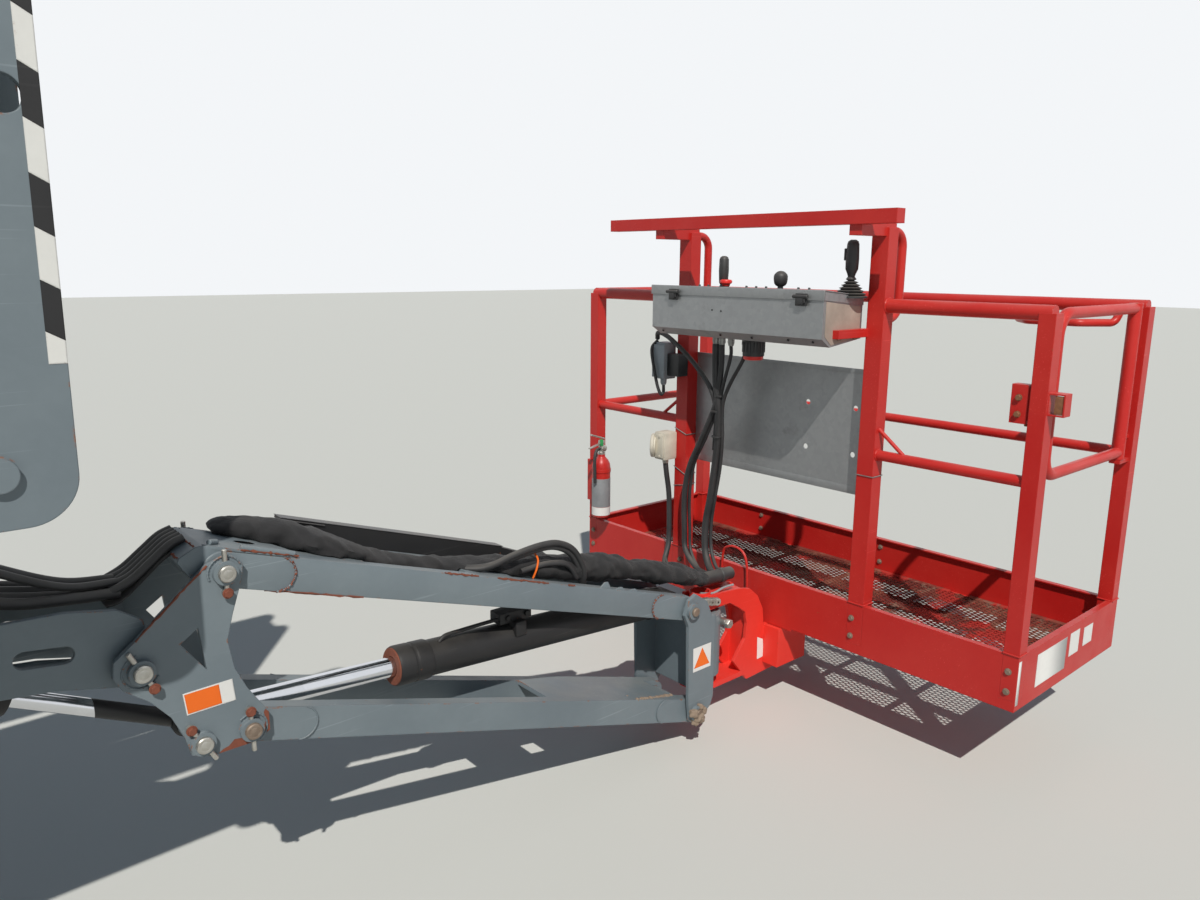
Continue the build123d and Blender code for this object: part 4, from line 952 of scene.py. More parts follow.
def arm_welds(b, base):
    for side in (-1, 1):
        for turn in (-1, 1):
            b.hose(doubler_edge(turn, side * 0.1048, base), 0.002, 6, 3, lambda t, a: 1 + 0.2 * sin(t * 70))


def upper_arm():
    length = (P_HEAD - P_TOP).length
    b = Build()
    for side in (-1, 1):
        b.jib_prism(stadium(0, length, 0.0375), side * 0.065, side * 0.102, 0.0035)
        for d0, d1 in ((0, 0.12), (length - 0.12, length)):
            b.jib_prism(stadium(d0, d1, 0.0365), side * 0.1015, side * 0.105, 0.0008)
    for d0, d1 in ((0.1, 0.33), (0.62, 0.76)):
        b.jib_prism([(d0, 0.0255), (d1, 0.0255), (d1, 0.0375), (d0, 0.0375)], -0.067, 0.067)
    outer = [(-0.052, -0.026), (-0.086, 0.004), (-0.085, 0.013), (-0.06, 0.038), (-0.05, 0.0432),
        (-0.046, 0.0437)]
    inner = [(-0.046, 0.0382), (-0.052, 0.037), (-0.079, 0.01), (-0.08, 0.006), (-0.049, -0.022)]
    b.jib_prism(outer + inner, -0.102, 0.066)
    cheek = [(-0.086, 0.004), (-0.085, 0.013), (-0.06, 0.038), (-0.05, 0.0432), (0.0, 0.0432), (0.0, -0.03),
        (-0.052, -0.026)]
    for y in (-0.1025, 0.0615):
        b.jib_prism(cheek, y, y + 0.0045, 0.0008)
    count = 36
    rim, hole = [], []
    edge = [(-0.046, -0.102), (0.05, -0.102), (0.152, -0.102), (0.158, -0.09), (0.156, -0.064),
        (0.148, -0.036), (0.13, -0.008), (0.1, 0.02), (0.06, 0.042), (0.01, 0.058), (-0.046, 0.066),
        (-0.046, -0.02)]
    middle = (0.066, -0.024)
    for k in range(count):
        a = 2 * pi * k / count
        hole.append((middle[0] + 0.021 * cos(a), middle[1] + 0.0125 * sin(a)))
        best = None
        for (x0, y0), (x1, y1) in zip(edge, edge[1:] + edge[:1]):
            ex, ey = x1 - x0, y1 - y0
            cross = cos(a) * ey - sin(a) * ex
            if abs(cross) < 1e-9:
                continue
            t = ((x0 - middle[0]) * ey - (y0 - middle[1]) * ex) / cross
            u = ((x0 - middle[0]) * sin(a) - (y0 - middle[1]) * cos(a)) / cross
            if t > 0 and -1e-6 <= u <= 1 + 1e-6 and (best is None or t > best):
                best = t
        rim.append((middle[0] + best * cos(a), middle[1] + best * sin(a)))
    sheet_with_hole(b, rim, hole, 0.0378, 0.0438)
    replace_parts(b.finish("jib_upper_tubes", "jib_upper_arm", GREY), "jib_upper_arm")
    b = Build()
    for y in (-0.05, -0.028, -0.006, 0.016, 0.038):
        b.hose([on_jib(-0.03, 0.006, y), on_jib(0.05, 0.022, y), on_jib(0.14, 0.024, y)], 0.012, 10, 4)
    b.finish("jib_covered_hoses", "jib_upper_arm", HOSE)
    b = Build()
    seams = [((d0, 0.0369, -0.1012), (d1, 0.0369, -0.1012)) for d0, d1 in ((0.53, 0.63), (0.69, 0.86),
        (0.93, 0.955))]
    seams += [((0.03, 0.0425, -0.1018), (0.155, 0.0425, -0.1018)), ((-0.06, 0.0375, -0.095),
        (-0.06, 0.0375, 0.055)), ((-0.085, 0.012, -0.095), (-0.085, 0.012, 0.055)),
        ((0.1, -0.0365, -0.1012), (0.33, -0.0365, -0.1012))]
    for number, (start, end) in enumerate(seams):
        rust_seam(b, [on_jib(*start), (on_jib(*start) + on_jib(*end)) / 2, on_jib(*end)], 0.003, number)
    for turn in (-1, 1):
        rust_seam(b, doubler_edge(turn, -0.105), 0.0028, 9 + turn)
    b.finish("jib_upper_rust", "jib_upper_arm", BOLT_RUST)


upper_arm()


# Fittings of the jib arms and the head
def jib_details():
    b = Build()
    b.rod(on_jib(0.03, 0.047, -0.097), on_jib(0.148, 0.045, -0.097), 0.0062, 12, 0.001)
    b.rod(on_jib(-0.03, 0.048, -0.085), on_jib(-0.01, 0.048, -0.072), 0.006, 12, 0.001)
    for d, tall in ((1.075, 0.056), (1.135, 0.046), (1.19, 0.045)):
        tab = [(d - 0.022, 0.036), (d - 0.008, tall - 0.002), (d + 0.004, tall), (d + 0.024, 0.036)]
        b.jib_prism(tab, -0.099, -0.094, 0.001)
    arm_welds(b, P_TOP)
    b.finish("jib_upper_details", "jib_upper_arm", GREY)
    b = Build()
    arm_welds(b, P_LOW)
    b.finish("jib_lower_welds", "jib_lower_arm", GREY)
    b = Build()
    for side in (-1, 1):
        b.rod((2.402, side * 0.03, 0.366), (2.402, side * 0.075, 0.366), 0.013, 16, 0.002)
        b.hex((2.402, side * 0.075, 0.366), (0, side, 0), 0.028, 0.016)
    b.finish("rotator_stop_bolts", "jib_head", BOLT_ZINC)
    b = Build()
    b.rod((2.345, 0.0, 0.506), (2.5, 0.0, 0.4985), 0.0215, 20, 0.003)
    b.rod((2.44, 0.0, 0.501), (2.462, 0.0, 0.5), 0.0245, 20, 0.002)
    b.finish("cable_connector", "jib_head", PLASTIC)


jib_details()


# Dusty lip of the hose tray, mud under the head and the plug on its top
def jib_dirt():
    b = Build()
    for d0, d1, y0, y1, h in ((0.188, 0.842, 0.1035, 0.1435, 0.0852), (0.16, 0.3, 0.1, 0.112, 0.08)):
        b.jib_prism([(d0, h), (d1, h), (d1, h + 0.0012), (d0, h + 0.0012)], y0, y1)
    b.jib_prism([(0.33, 0.015), (0.842, 0.015), (0.842, 0.018), (0.33, 0.018)], 0.098, 0.1058)
    b.finish("tray_lip", "jib_upper_arm", DARK_SHEET)
    b = Build()
    b.jib_prism([(0.84, 0.012), (1.16, 0.012), (1.16, 0.05), (0.84, 0.079)], 0.106, 0.112)
    b.jib_prism([(0.84, 0.079), (1.16, 0.05), (1.16, 0.0525), (0.84, 0.0815)], 0.106, 0.138)
    b.finish("tray_end", "jib_upper_arm", BLACK)
    lumps = [(2.19, -0.134, 0.14, 0.015), (2.212, -0.138, 0.12, 0.018), (2.234, -0.133, 0.136, 0.013),
        (2.2, -0.132, 0.108, 0.014), (2.222, -0.132, 0.152, 0.01), (2.2, 0.132, 0.128, 0.014)]
    crumbs = []
    for k in range(22):
        at = on_jib(1.17 + 0.2 * (k * 0.618 % 1) ** 0.8, 0.0355, -0.067 - 0.031 * (k * 0.382 % 1), P_LOW)
        crumbs.append((*at, 0.0035 + 0.0045 * (k * 0.271 % 1)))
    for name, body, spots in (("head_mud", "jib_head", lumps), ("arm_mud", "jib_lower_arm", crumbs)):
        b = Build()
        for x, y, z, r in spots:
            at = Vector((x, y, z))
            for v in bmesh.ops.create_icosphere(b.bm, subdivisions=3, radius=r)["verts"]:
                v.co = at + v.co * (1 + 0.5 * noise.noise(v.co * 90 + at))
        b.finish(name, body, MUD)
    b = Build()
    for k in range(5):
        at = Vector((2.318 + 0.014 * k, -0.05 + 0.002 * (k % 2), 0.452 - 0.003 * k))
        b.lathe(at - Vector((0, 0.01, 0)), (0.2, 1, 0.1), [(0, 0.004), (0, 0.011), (0.004, 0.013),
            (0.016, 0.013), (0.02, 0.011), (0.02, 0.004), (0, 0.004)], 16)
    b.finish("head_chain", "jib_head", BOLT_ZINC)
    b = Build()
    b.hose([(2.33, -0.02, 0.47), (2.38, -0.03, 0.462), (2.43, -0.032, 0.47), (2.48, -0.03, 0.468)], 0.004,
        10, 6)
    b.finish("head_wire", "jib_head", PLATE_GREY, slot="cable_rubber")


jib_dirt()


# Control box: lid, end plates, latches, glands, horn, switches and joystick
def control_box():
    top, low, face = 1.448, 1.285, 2.45
    b = Build()
    b.prism([(face - 0.0045, top - 0.027), (face - 0.0008, top - 0.027), (face - 0.0008, top + 0.0004),
        (2.646, top - 0.0176), (2.646, top - 0.0148), (face - 0.003, top + 0.0034),
        (face - 0.0045, top + 0.002)], -0.3535, 0.3535, "y", 0.0006)
    for side in (-1, 1):
        y0, y1 = sorted((side * 0.3502, side * 0.353))
        b.prism([(face + 0.001, top - 0.026), (face + 0.001, top - 0.002), (2.646, top - 0.0205),
            (2.646, top - 0.044)], y0, y1)
    b.finish("box_lid", "platform", ZINC)
    b = Build()
    for side in (-1, 1):
        y0, y1 = sorted((side * 0.35, side * 0.3512))
        b.prism([(face + 0.012, low + 0.032), (face + 0.044, low + 0.006), (2.636, low + 0.024),
            (2.636, top - 0.048), (face + 0.012, top - 0.03)], y0, y1)
    b.finish("box_ends", "platform", DUSTY)
    b = Build()
    for y in (0.245, -0.276):
        b.block((face - 0.0105, y - 0.02, 1.404), (face - 0.0045, y + 0.02, 1.44), 0.002)
        b.block((face - 0.017, y - 0.012, 1.408), (face - 0.01, y + 0.012, 1.428), 0.0025)
        b.rod((face - 0.0135, y - 0.026, 1.431), (face - 0.0135, y + 0.026, 1.431), 0.0055, 12, 0.001)
        b.rod((face - 0.0135, y - 0.015, 1.414), (face - 0.0135, y - 0.015, 1.431), 0.003, 8)
    b.finish("box_latches", "platform", PLASTIC)
    b = Build()
    for y, z in ((0.077, 1.377), (0.039, 1.375)):
        b.turned((face - 0.0002, y, z), BACKWARD, [(0, 0.0032), (0.0006, 0.0028)], 12)
    for y, z in ((-0.08, 1.298), (-0.22, 1.3), (0.31, 1.298), (-0.31, 1.3), (0.05, 1.298)):
        b.turned((face + 0.014, y, z), (-0.6, 0, -0.8), [(0, 0.0042), (0.003, 0.0034)], 12)
    b.finish("box_rivets", "platform", BLACK_PAINT)
    b = Build()
    for y, r in ((0.162, 0.0125), (0.135, 0.0125), (0.095, 0.0115), (0.034, 0.0115)):
        b.hex((2.57, y, 1.2955), DOWN, 0.026, 0.016, 0.0155)
        b.turned((2.57, y, 1.2775), DOWN, [(0, r), (0.014, r), (0.024, r * 0.72)], 18)
    b.finish("cable_glands", "platform", GLAND)
    b = Build()
    b.turned((2.56, -0.01, 1.2955), DOWN, [(0, 0.031), (0.01, 0.031), (0.012, 0.034), (0.062, 0.0355),
        (0.066, 0.034)], 36)
    for k in range(18):
        a = 2 * pi * k / 18
        at = Vector((2.56 + 0.0348 * cos(a), -0.01 + 0.0348 * sin(a), 1.264))
        b.block(at - Vector((0.0022, 0.0022, 0.022)), at + Vector((0.0022, 0.0022, 0.012)), 0.0008)
    b.finish("horn_body", "platform", PLASTIC)
    b = Build()
    b.turned((2.56, -0.01, 1.2295), DOWN, [(0, 0.0325), (0.008, 0.033), (0.012, 0.029), (0.012, 0.018),
        (0.006, 0.016)], 36)
    b.finish("horn_ring", "platform", RED_PLASTIC)

    b = Build()
    b.prism([(2.462, top - 0.0003), (2.636, top - 0.0163), (2.636, top - 0.0133), (2.462, top + 0.0027)],
        -0.33, 0.33, "y", 0.0008)
    b.finish("switch_plate", "platform", BLACK, slot="black_plastic")
    b = Build()
    b.turned((2.53, 0.092, 1.441), UP, [(0, 0.0165), (0.007, 0.0165), (0.009, 0.011), (0.016, 0.011)], 24)
    for y in (0.225, 0.185, 0.02, -0.02, -0.06, -0.185, -0.225):
        b.turned((2.545, y, 1.438), UP, [(0, 0.009), (0.003, 0.009), (0.004, 0.0055), (0.006, 0.0055)], 16)
        b.lathe((2.545, y, 1.443), (0.4, 0, 1), [(0, 0.003), (0.009, 0.004), (0.011, 0.0035), (0.0115, 0)],
            12)
    b.turned((2.545, 0.116, 1.44), UP, [(0, 0.022), (0.006, 0.021), (0.01, 0.013), (0.016, 0.011),
        (0.022, 0.0145), (0.06, 0.0165), (0.096, 0.0155), (0.104, 0.0125), (0.108, 0.006)], 20)
    b.lathe((2.53, -0.13, 1.441), UP, [(0, 0), (0, 0.016), (0.005, 0.015), (0.008, 0.009), (0.014, 0.0085),
        (0.018, 0.0155), (0.024, 0.0195), (0.036, 0.0215), (0.046, 0.0215), (0.052, 0.019), (0.058, 0.013),
        (0.061, 0.007), (0.062, 0)], 28)
    bellows = [(0, 0), (0, 0.05), (0.005, 0.05)]
    for k in range(6):
        r = 0.047 - 0.0062 * k
        bellows += [(0.008 + k * 0.0085, r - 0.007), (0.012 + k * 0.0085, r)]
    bellows += [(0.062, 0.01), (0.07, 0.0125), (0.084, 0.0185), (0.112, 0.0195), (0.138, 0.0185),
        (0.156, 0.0175), (0.164, 0.015), (0.169, 0.008), (0.169, 0)]
    b.lathe((2.602, -0.334, 1.426), UP, bellows, 32)
    b.block((2.59, -0.318, 1.535), (2.61, -0.312, 1.57), 0.002)
    piece = b.finish("box_controls", "platform", PLASTIC)
    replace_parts(piece, "control_levers")
    b = Build()
    b.lathe((2.53, 0.092, 1.452), UP, [(0, 0), (0, 0.0125), (0.006, 0.014), (0.009, 0.0195),
        (0.015, 0.0205), (0.019, 0.0185), (0.021, 0.012), (0.0205, 0)], 28)
    b.finish("stop_button", "platform", RED_PLASTIC)


control_box()


# Cables down from the box to the jib's end
def cables():
    b = Build()
    b.hose([(2.57, 0.162, 1.256), (2.571, 0.162, 1.2), (2.575, 0.16, 1.12), (2.582, 0.152, 1.04),
        (2.594, 0.16, 0.93), (2.6, 0.176, 0.82), (2.604, 0.196, 0.7), (2.604, 0.214, 0.6),
        (2.598, 0.205, 0.5), (2.57, 0.15, 0.448), (2.52, 0.07, 0.47), (2.47, 0.012, 0.494)], 0.0125, 14, 8)
    b.hose([(2.57, 0.034, 1.256), (2.571, 0.04, 1.215), (2.575, 0.1, 1.12), (2.585, 0.136, 1.045),
        (2.6, 0.146, 0.93), (2.61, 0.16, 0.82), (2.615, 0.184, 0.7), (2.618, 0.2, 0.6), (2.612, 0.19, 0.51),
        (2.585, 0.14, 0.462), (2.53, 0.07, 0.482), (2.47, 0.008, 0.5)], 0.0065, 12, 8)
    b.hose([(2.57, 0.135, 1.256), (2.572, 0.136, 1.2), (2.576, 0.146, 1.12), (2.58, 0.166, 1.04),
        (2.59, 0.236, 0.91), (2.6, 0.298, 0.8), (2.604, 0.322, 0.69), (2.604, 0.318, 0.56),
        (2.596, 0.3, 0.48), (2.56, 0.2, 0.44), (2.5, 0.08, 0.47), (2.44, 0.016, 0.502)], 0.0098, 12, 8)
    b.hose([(2.57, 0.095, 1.256), (2.571, 0.096, 1.215), (2.576, 0.128, 1.12), (2.588, 0.16, 1.035),
        (2.6, 0.224, 0.915), (2.612, 0.286, 0.81), (2.618, 0.31, 0.69), (2.618, 0.304, 0.56),
        (2.606, 0.282, 0.475), (2.56, 0.18, 0.43), (2.49, 0.06, 0.466), (2.43, 0.006, 0.506)], 0.006, 12, 8)
    b.hose([(2.614, 0.436, 0.8), (2.618, 0.432, 0.75), (2.624, 0.424, 0.68), (2.626, 0.42, 0.6),
        (2.618, 0.412, 0.48), (2.57, 0.38, 0.412), (2.5, 0.22, 0.404), (2.43, 0.08, 0.46),
        (2.39, 0.01, 0.5)], 0.01, 14, 8)
    b.hose([(2.622, 0.448, 0.8), (2.628, 0.446, 0.75), (2.634, 0.438, 0.68), (2.636, 0.434, 0.6),
        (2.628, 0.424, 0.486), (2.576, 0.38, 0.424), (2.5, 0.22, 0.418), (2.43, 0.08, 0.47),
        (2.39, 0.004, 0.506)], 0.0055, 12, 8)
    piece = b.finish("platform_cables", None, HOSE)
    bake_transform(piece)
    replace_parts(piece, "control_cables")
    b = Build()
    b.hose([(2.6, 0.476, 1.252), (2.59, 0.46, 1.275), (2.582, 0.4, 1.262), (2.576, 0.3, 1.205),
        (2.574, 0.22, 1.14), (2.578, 0.176, 1.08), (2.59, 0.168, 1.0), (2.604, 0.184, 0.88)], 0.0085, 12, 8)
    b.hose([(2.596, 0.47, 1.246), (2.576, 0.48, 1.216), (2.57, 0.462, 1.15), (2.574, 0.446, 1.084),
        (2.584, 0.438, 1.052), (2.596, 0.436, 1.058), (2.6, 0.44, 1.088)], 0.0058, 12, 8)
    b.finish("device_cables", "platform", HOSE)
    b = Build()
    for z, y in ((1.02, 0.166), (0.93, 0.165), (1.075, 0.152)):
        b.lathe((2.59 if z < 1 else 2.583, y - 0.002, z), UP, [(0, 0.0), (0, 0.0185), (0.005, 0.0185),
            (0.005, 0)], 20)
    b.finish("cable_ties", "platform", PLASTIC, slot="")


cables()


# Relay box on the left tall post, outlet, post straps and the bent red rod
def post_devices():
    b = Build()
    b.block((2.588, 0.424, 1.106), (2.646, 0.478, 1.24), 0.004)
    b.block((2.58, 0.42, 1.112), (2.589, 0.482, 1.232), 0.002)
    b.turned((2.6, 0.44, 1.1065), DOWN, [(0, 0.012), (0.016, 0.011), (0.022, 0.008)], 16)
    b.finish("relay_box", "platform", DEVICE_GREY)
    b = Build()
    b.block((2.6, 0.365, 1.12), (2.649, 0.424, 1.2), 0.003)
    b.finish("relay_bracket", "platform", PLASTIC)
    b = Build()
    b.block((2.584, 0.41, 0.803), (2.6495, 0.467, 0.908), 0.008)
    b.block((2.578, 0.415, 0.812), (2.585, 0.462, 0.9), 0.003)
    b.turned((2.594, 0.464, 0.853), (-0.6, 0.8, 0), [(0, 0.038), (0.005, 0.038), (0.007, 0.0445),
        (0.016, 0.0445), (0.019, 0.041)], 36)
    for z in (0.818, 0.893):
        b.turned((2.5785, 0.433, z), BACKWARD, [(0, 0.005), (0.003, 0.0045)], 14)
    b.turned((2.612, 0.433, 0.804), DOWN, [(0, 0.012), (0.014, 0.011), (0.016, 0.008)], 18)
    piece = b.finish("outlet_body", "platform", BEIGE)
    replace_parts(piece, "outlet_box")
    b = Build()
    for y0, z, lean in ((TALL_Y, 0.912, 0.01), (TALL_Y, 0.762, 0.012), (-TALL_Y, 0.885, 0.0),
            (TALL_Y, 0.705, -0.006)):
        ring = []
        for x, y in ((-0.0018, -0.03), (-0.0018, 0.03), (0.052, 0.03), (0.052, -0.03), (-0.0018, -0.03)):
            ring.append((BACK + x, y0 + y, z + lean * y / 0.03))
        b.loop(ring, 0.0016)
    b.finish("post_straps", "platform", GLAND, slot="")
    b = Build()
    b.hose([(2.636, 0.157, 0.359), (2.637, 0.158, 0.44), (2.637, 0.152, 0.51), (2.637, 0.128, 0.531),
        (2.637, 0.095, 0.536), (2.637, 0.062, 0.524), (2.637, 0.045, 0.49), (2.637, 0.04, 0.43),
        (2.637, 0.038, 0.372)], 0.0045, 12, 8)
    for y, z in ((0.157, 0.362), (0.038, 0.376)):
        b.rod((2.634, y, z), (2.6505, y, z), 0.0065, 12, 0.001)
    b.finish("hose_guide_rod", "platform", RED)


post_devices()


# Fire extinguisher on the left end's near post
def extinguisher():
    x, y = 2.61, 0.797
    b = Build()
    b.turned((x, y, 0.503), UP, [(0.004, 0.028), (0, 0.031), (0, 0.0345), (0.006, 0.0375), (0.205, 0.0375),
        (0.222, 0.035), (0.236, 0.028), (0.246, 0.019), (0.252, 0.015), (0.26, 0.015)], 40)
    b.finish("extinguisher_bottle", "platform", BOTTLE_RED)
    b = Build()
    b.turned((x, y, 0.763), UP, [(0, 0.0155), (0.008, 0.016), (0.012, 0.0115), (0.04, 0.011),
        (0.046, 0.014), (0.056, 0.013), (0.06, 0.006)], 24)
    b.block((x - 0.06, y - 0.008, 0.826), (x + 0.012, y + 0.008, 0.833), 0.002, (radians(18), "Y"),
        Vector((x, y, 0.826)))
    b.block((x - 0.066, y - 0.007, 0.806), (x + 0.006, y + 0.007, 0.811), 0.002, (radians(-14), "Y"),
        Vector((x, y, 0.806)))
    b.turned((x, y - 0.012, 0.79), (0, -1, 0), [(0, 0.013), (0.008, 0.013), (0.01, 0.01)], 20)
    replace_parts(b.finish("extinguisher_valve", "platform", BOLT_ZINC), "fire_extinguisher")
    b = Build()
    b.lathe((x, y, 0.512), UP, [(0, 0.0374), (0, 0.0379), (0.034, 0.0379), (0.034, 0.0374)], 40)
    b.finish("extinguisher_band_white", "platform", LABEL)
    b = Build()
    b.lathe((x, y, 0.547), UP, [(0, 0.0374), (0, 0.0379), (0.118, 0.0379), (0.118, 0.0374)], 40)
    b.finish("extinguisher_band_grey", "platform", PLATE_GREY)
    b = Build()
    b.hose([(x - 0.01, y, 0.786), (x - 0.03, y - 0.004, 0.78), (x - 0.044, y - 0.01, 0.75),
        (x - 0.046, y - 0.014, 0.7), (x - 0.043, y - 0.012, 0.65)], 0.0065, 12, 6)
    b.finish("extinguisher_hose", "platform", HOSE, slot="black_plastic")
    b = Build()
    b.lathe((x, y, 0.69), UP, [(0, 0.0378), (0, 0.0392), (0.014, 0.0392), (0.014, 0.0378)], 40)
    b.block((x + 0.026, y + 0.02, 0.545), (x + 0.04, y + 0.118, 0.72), 0.002)
    b.block((x + 0.036, y + 0.06, 0.56), (2.6506, y + 0.11, 0.71), 0.001)
    b.finish("extinguisher_bracket", "platform", RED)
    b = Build()
    b.block((x - 0.012, y - 0.02, 0.8), (x - 0.009, y - 0.004, 0.826), 0.0006)
    b.finish("extinguisher_seal", "platform", SEAL_GREEN)


extinguisher()


def square_weld(b, x0, x1, y0, y1, z=0.4665):
    b.loop([(x0, y0, z), (x1, y0, z), (x1, y1, z), (x0, y1, z), (x0, y0, z)], 0.0028)


# Latch of the gate, weld seams and small fasteners of the platform
def platform_details():
    b = Build()
    for x in (BACK + POST / 2, FRONT - POST / 2):
        for y in (-POST_Y, POST_Y):
            half = POST / 2 + 0.0008
            square_weld(b, x - half, x + half, y - half, y + half)
    for side in (-1, 1):
        y = side * TALL_Y
        square_weld(b, 2.6492, 2.7008, y - 0.0285, y + 0.0285)
        for z in (RAIL_Z, MID_Z):
            r = 0.021 if z == RAIL_Z else 0.016
            seam = [(BACK + POST / 2 + (r + 0.001) * cos(a), y + side * 0.0288, z + (r + 0.001) * sin(a))
                for a in circle(16)]
            b.hose(seam, 0.0026, 6, 2, lambda t, a: 1 + 0.25 * sin(t * 60))
    b.finish("platform_welds", "platform", RED)
    spots = []
    for y in (-0.36, 0.36):
        for z in (0.86, 1.0, 1.15):
            spots.append(((BACK + 0.0541, y, z), AHEAD))
    for side in (-1, 1):
        for x in (2.52, 2.6):
            spots.append(((x, side * 0.361, 1.3095), DOWN))
    scatter("panel_bolts", "platform", BOLT_DULL, BOLT, spots, 0.0062)
    b = Build()
    b.block((BACK + 0.049, -0.371, 0.8045), (BACK + 0.0502, 0.371, 0.829), 0.0004)
    b.block((BACK + 0.049, -0.371, 1.1895), (BACK + 0.0502, 0.371, 1.2045), 0.0004)
    b.finish("panel_folds", "platform", ZINC)
    b = Build()
    b.rod((BACK + 0.028, -0.856, 1.214), (BACK + 0.028, -0.856, 1.102), 0.006, 12, 0.001)
    b.block((BACK + 0.01, -0.974 + 0.022, 1.146), (BACK + 0.014, -0.93, 1.194), 0.001)
    b.hex((BACK + 0.008, -0.838, 1.18), BACKWARD, 0.014, 0.007, 0.009)
    b.hex((BACK + 0.008, -0.838, 1.135), BACKWARD, 0.014, 0.007, 0.009)
    b.finish("gate_latch_parts", "platform", PIN_RUST, slot="black_paint")


platform_details()


# Wheels: tyre with chevron lugs, rim flange, nuts, hub cap and valve
AXLE_Z = 0.4
WHEEL_Y = 0.92
WHEELS = [("front_left", -0.96, 1), ("front_right", -0.96, -1), ("rear_left", -2.94, 1),
    ("rear_right", -2.94, -1)]
# distance from the tyre's middle, radius
TYRE_SIDE = [(0.0, 0.377), (0.06, 0.3755), (0.108, 0.371), (0.126, 0.363), (0.137, 0.347), (0.1415, 0.324),
    (0.1425, 0.302), (0.1415, 0.28), (0.1432, 0.2765), (0.1432, 0.27), (0.1405, 0.2665), (0.138, 0.252),
    (0.1345, 0.238), (0.129, 0.224), (0.1205, 0.216)]


def lug_shape(name, lean):
    b = Build()
    # along the axle, base radius, top radius, half width at the top
    rows = [(0.004, 0.372, 0.396, 0.02), (0.012, 0.372, 0.399, 0.0225), (0.1, 0.368, 0.4, 0.0235),
        (0.12, 0.36, 0.3985, 0.0235), (0.136, 0.344, 0.388, 0.0225), (0.1432, 0.324, 0.364, 0.0205),
        (0.1436, 0.316, 0.34, 0.018)]
    rings = []
    for x, low, high, half in rows:
        shift = lean * 0.445 * (x - 0.074)
        ring = [(shift - half - 0.004, low), (shift - half, high - 0.004), (shift - half + 0.003, high),
            (shift + half - 0.003, high), (shift + half, high - 0.004), (shift + half + 0.004, low)]
        rings.append(b.ring((x, t, r) for t, r in ring))
    b.tube(rings)
    return template(name, b)


LUGS = {1: lug_shape("lug_one", -1), -1: lug_shape("lug_other", 1)}


def wheels():
    for name, x, side in WHEELS:
        body = "wheel_" + name
        hub = Vector((x, side * WHEEL_Y, AXLE_Z))
        out = Vector((0, side, 0))
        b = Build()
        loop = [(-y, r) for y, r in TYRE_SIDE[::-1]] + TYRE_SIDE[1:]
        b.lathe(hub, out, loop + [loop[0]], 96)
        bmesh.ops.remove_doubles(b.bm, verts=b.bm.verts[:], dist=0.00002)
        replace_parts(b.finish("tyre_carcass_" + name, body, RUBBER, angle=30), "tyre_" + name)
        for half in (1, -1):
            spots = []
            for k in range(12):
                angle = radians(30 * k + (15 if half > 0 else 0))
                spots.append((tuple(hub), (sin(angle), 0, cos(angle)), (0, side * half, 0)))
            scatter("tyre_lugs_%s_%s" % (name, "outer" if half > 0 else "inner"), body, RUBBER,
                LUGS[half * side], spots)
        b = Build()
        b.lathe(hub, out, [(0.1165, 0.202), (0.1165, 0.215), (0.12, 0.2195), (0.123, 0.2195),
            (0.124, 0.217), (0.1225, 0.202), (0.1165, 0.202)], 72)
        bmesh.ops.remove_doubles(b.bm, verts=b.bm.verts[:], dist=0.00002)
        b.lathe(hub, out, [(0.0325, 0.046), (0.0325, 0.0665), (0.044, 0.0665), (0.048, 0.061),
            (0.064, 0.056), (0.0675, 0.052), (0.0675, 0)], 40)
        b.turned(hub + out * 0.067, out, [(0, 0.012), (0.003, 0.012)], 6)
        for ring, width in ((0.118, 0.004), (0.172, 0.004)):
            b.lathe(hub, out, [(0.0318, ring - width), (0.0345, ring - width * 0.4),
                (0.0345, ring + width * 0.4), (0.0318, ring + width)], 56)
        valve = hub + out * 0.032 + Vector((0.158, 0, 0))
        b.rod(valve, valve + out * 0.03 + Vector((0.004, 0, 0)), 0.0045, 10, 0.001)
        b.finish("wheel_fittings_" + name, body, RIM)
        face = hub + out * 0.032
        spots = [(tuple(face + Vector((cos(a), 0, sin(a))) * 0.092), tuple(out)) for a in circle(9)[:-1]]
        scatter("wheel_nuts_" + name, body, BOLT_DULL, BOLT, spots, 0.0125)


wheels()


FRAME_COVERS = ((-2.75, -2.35), (-1.55, -1.15))


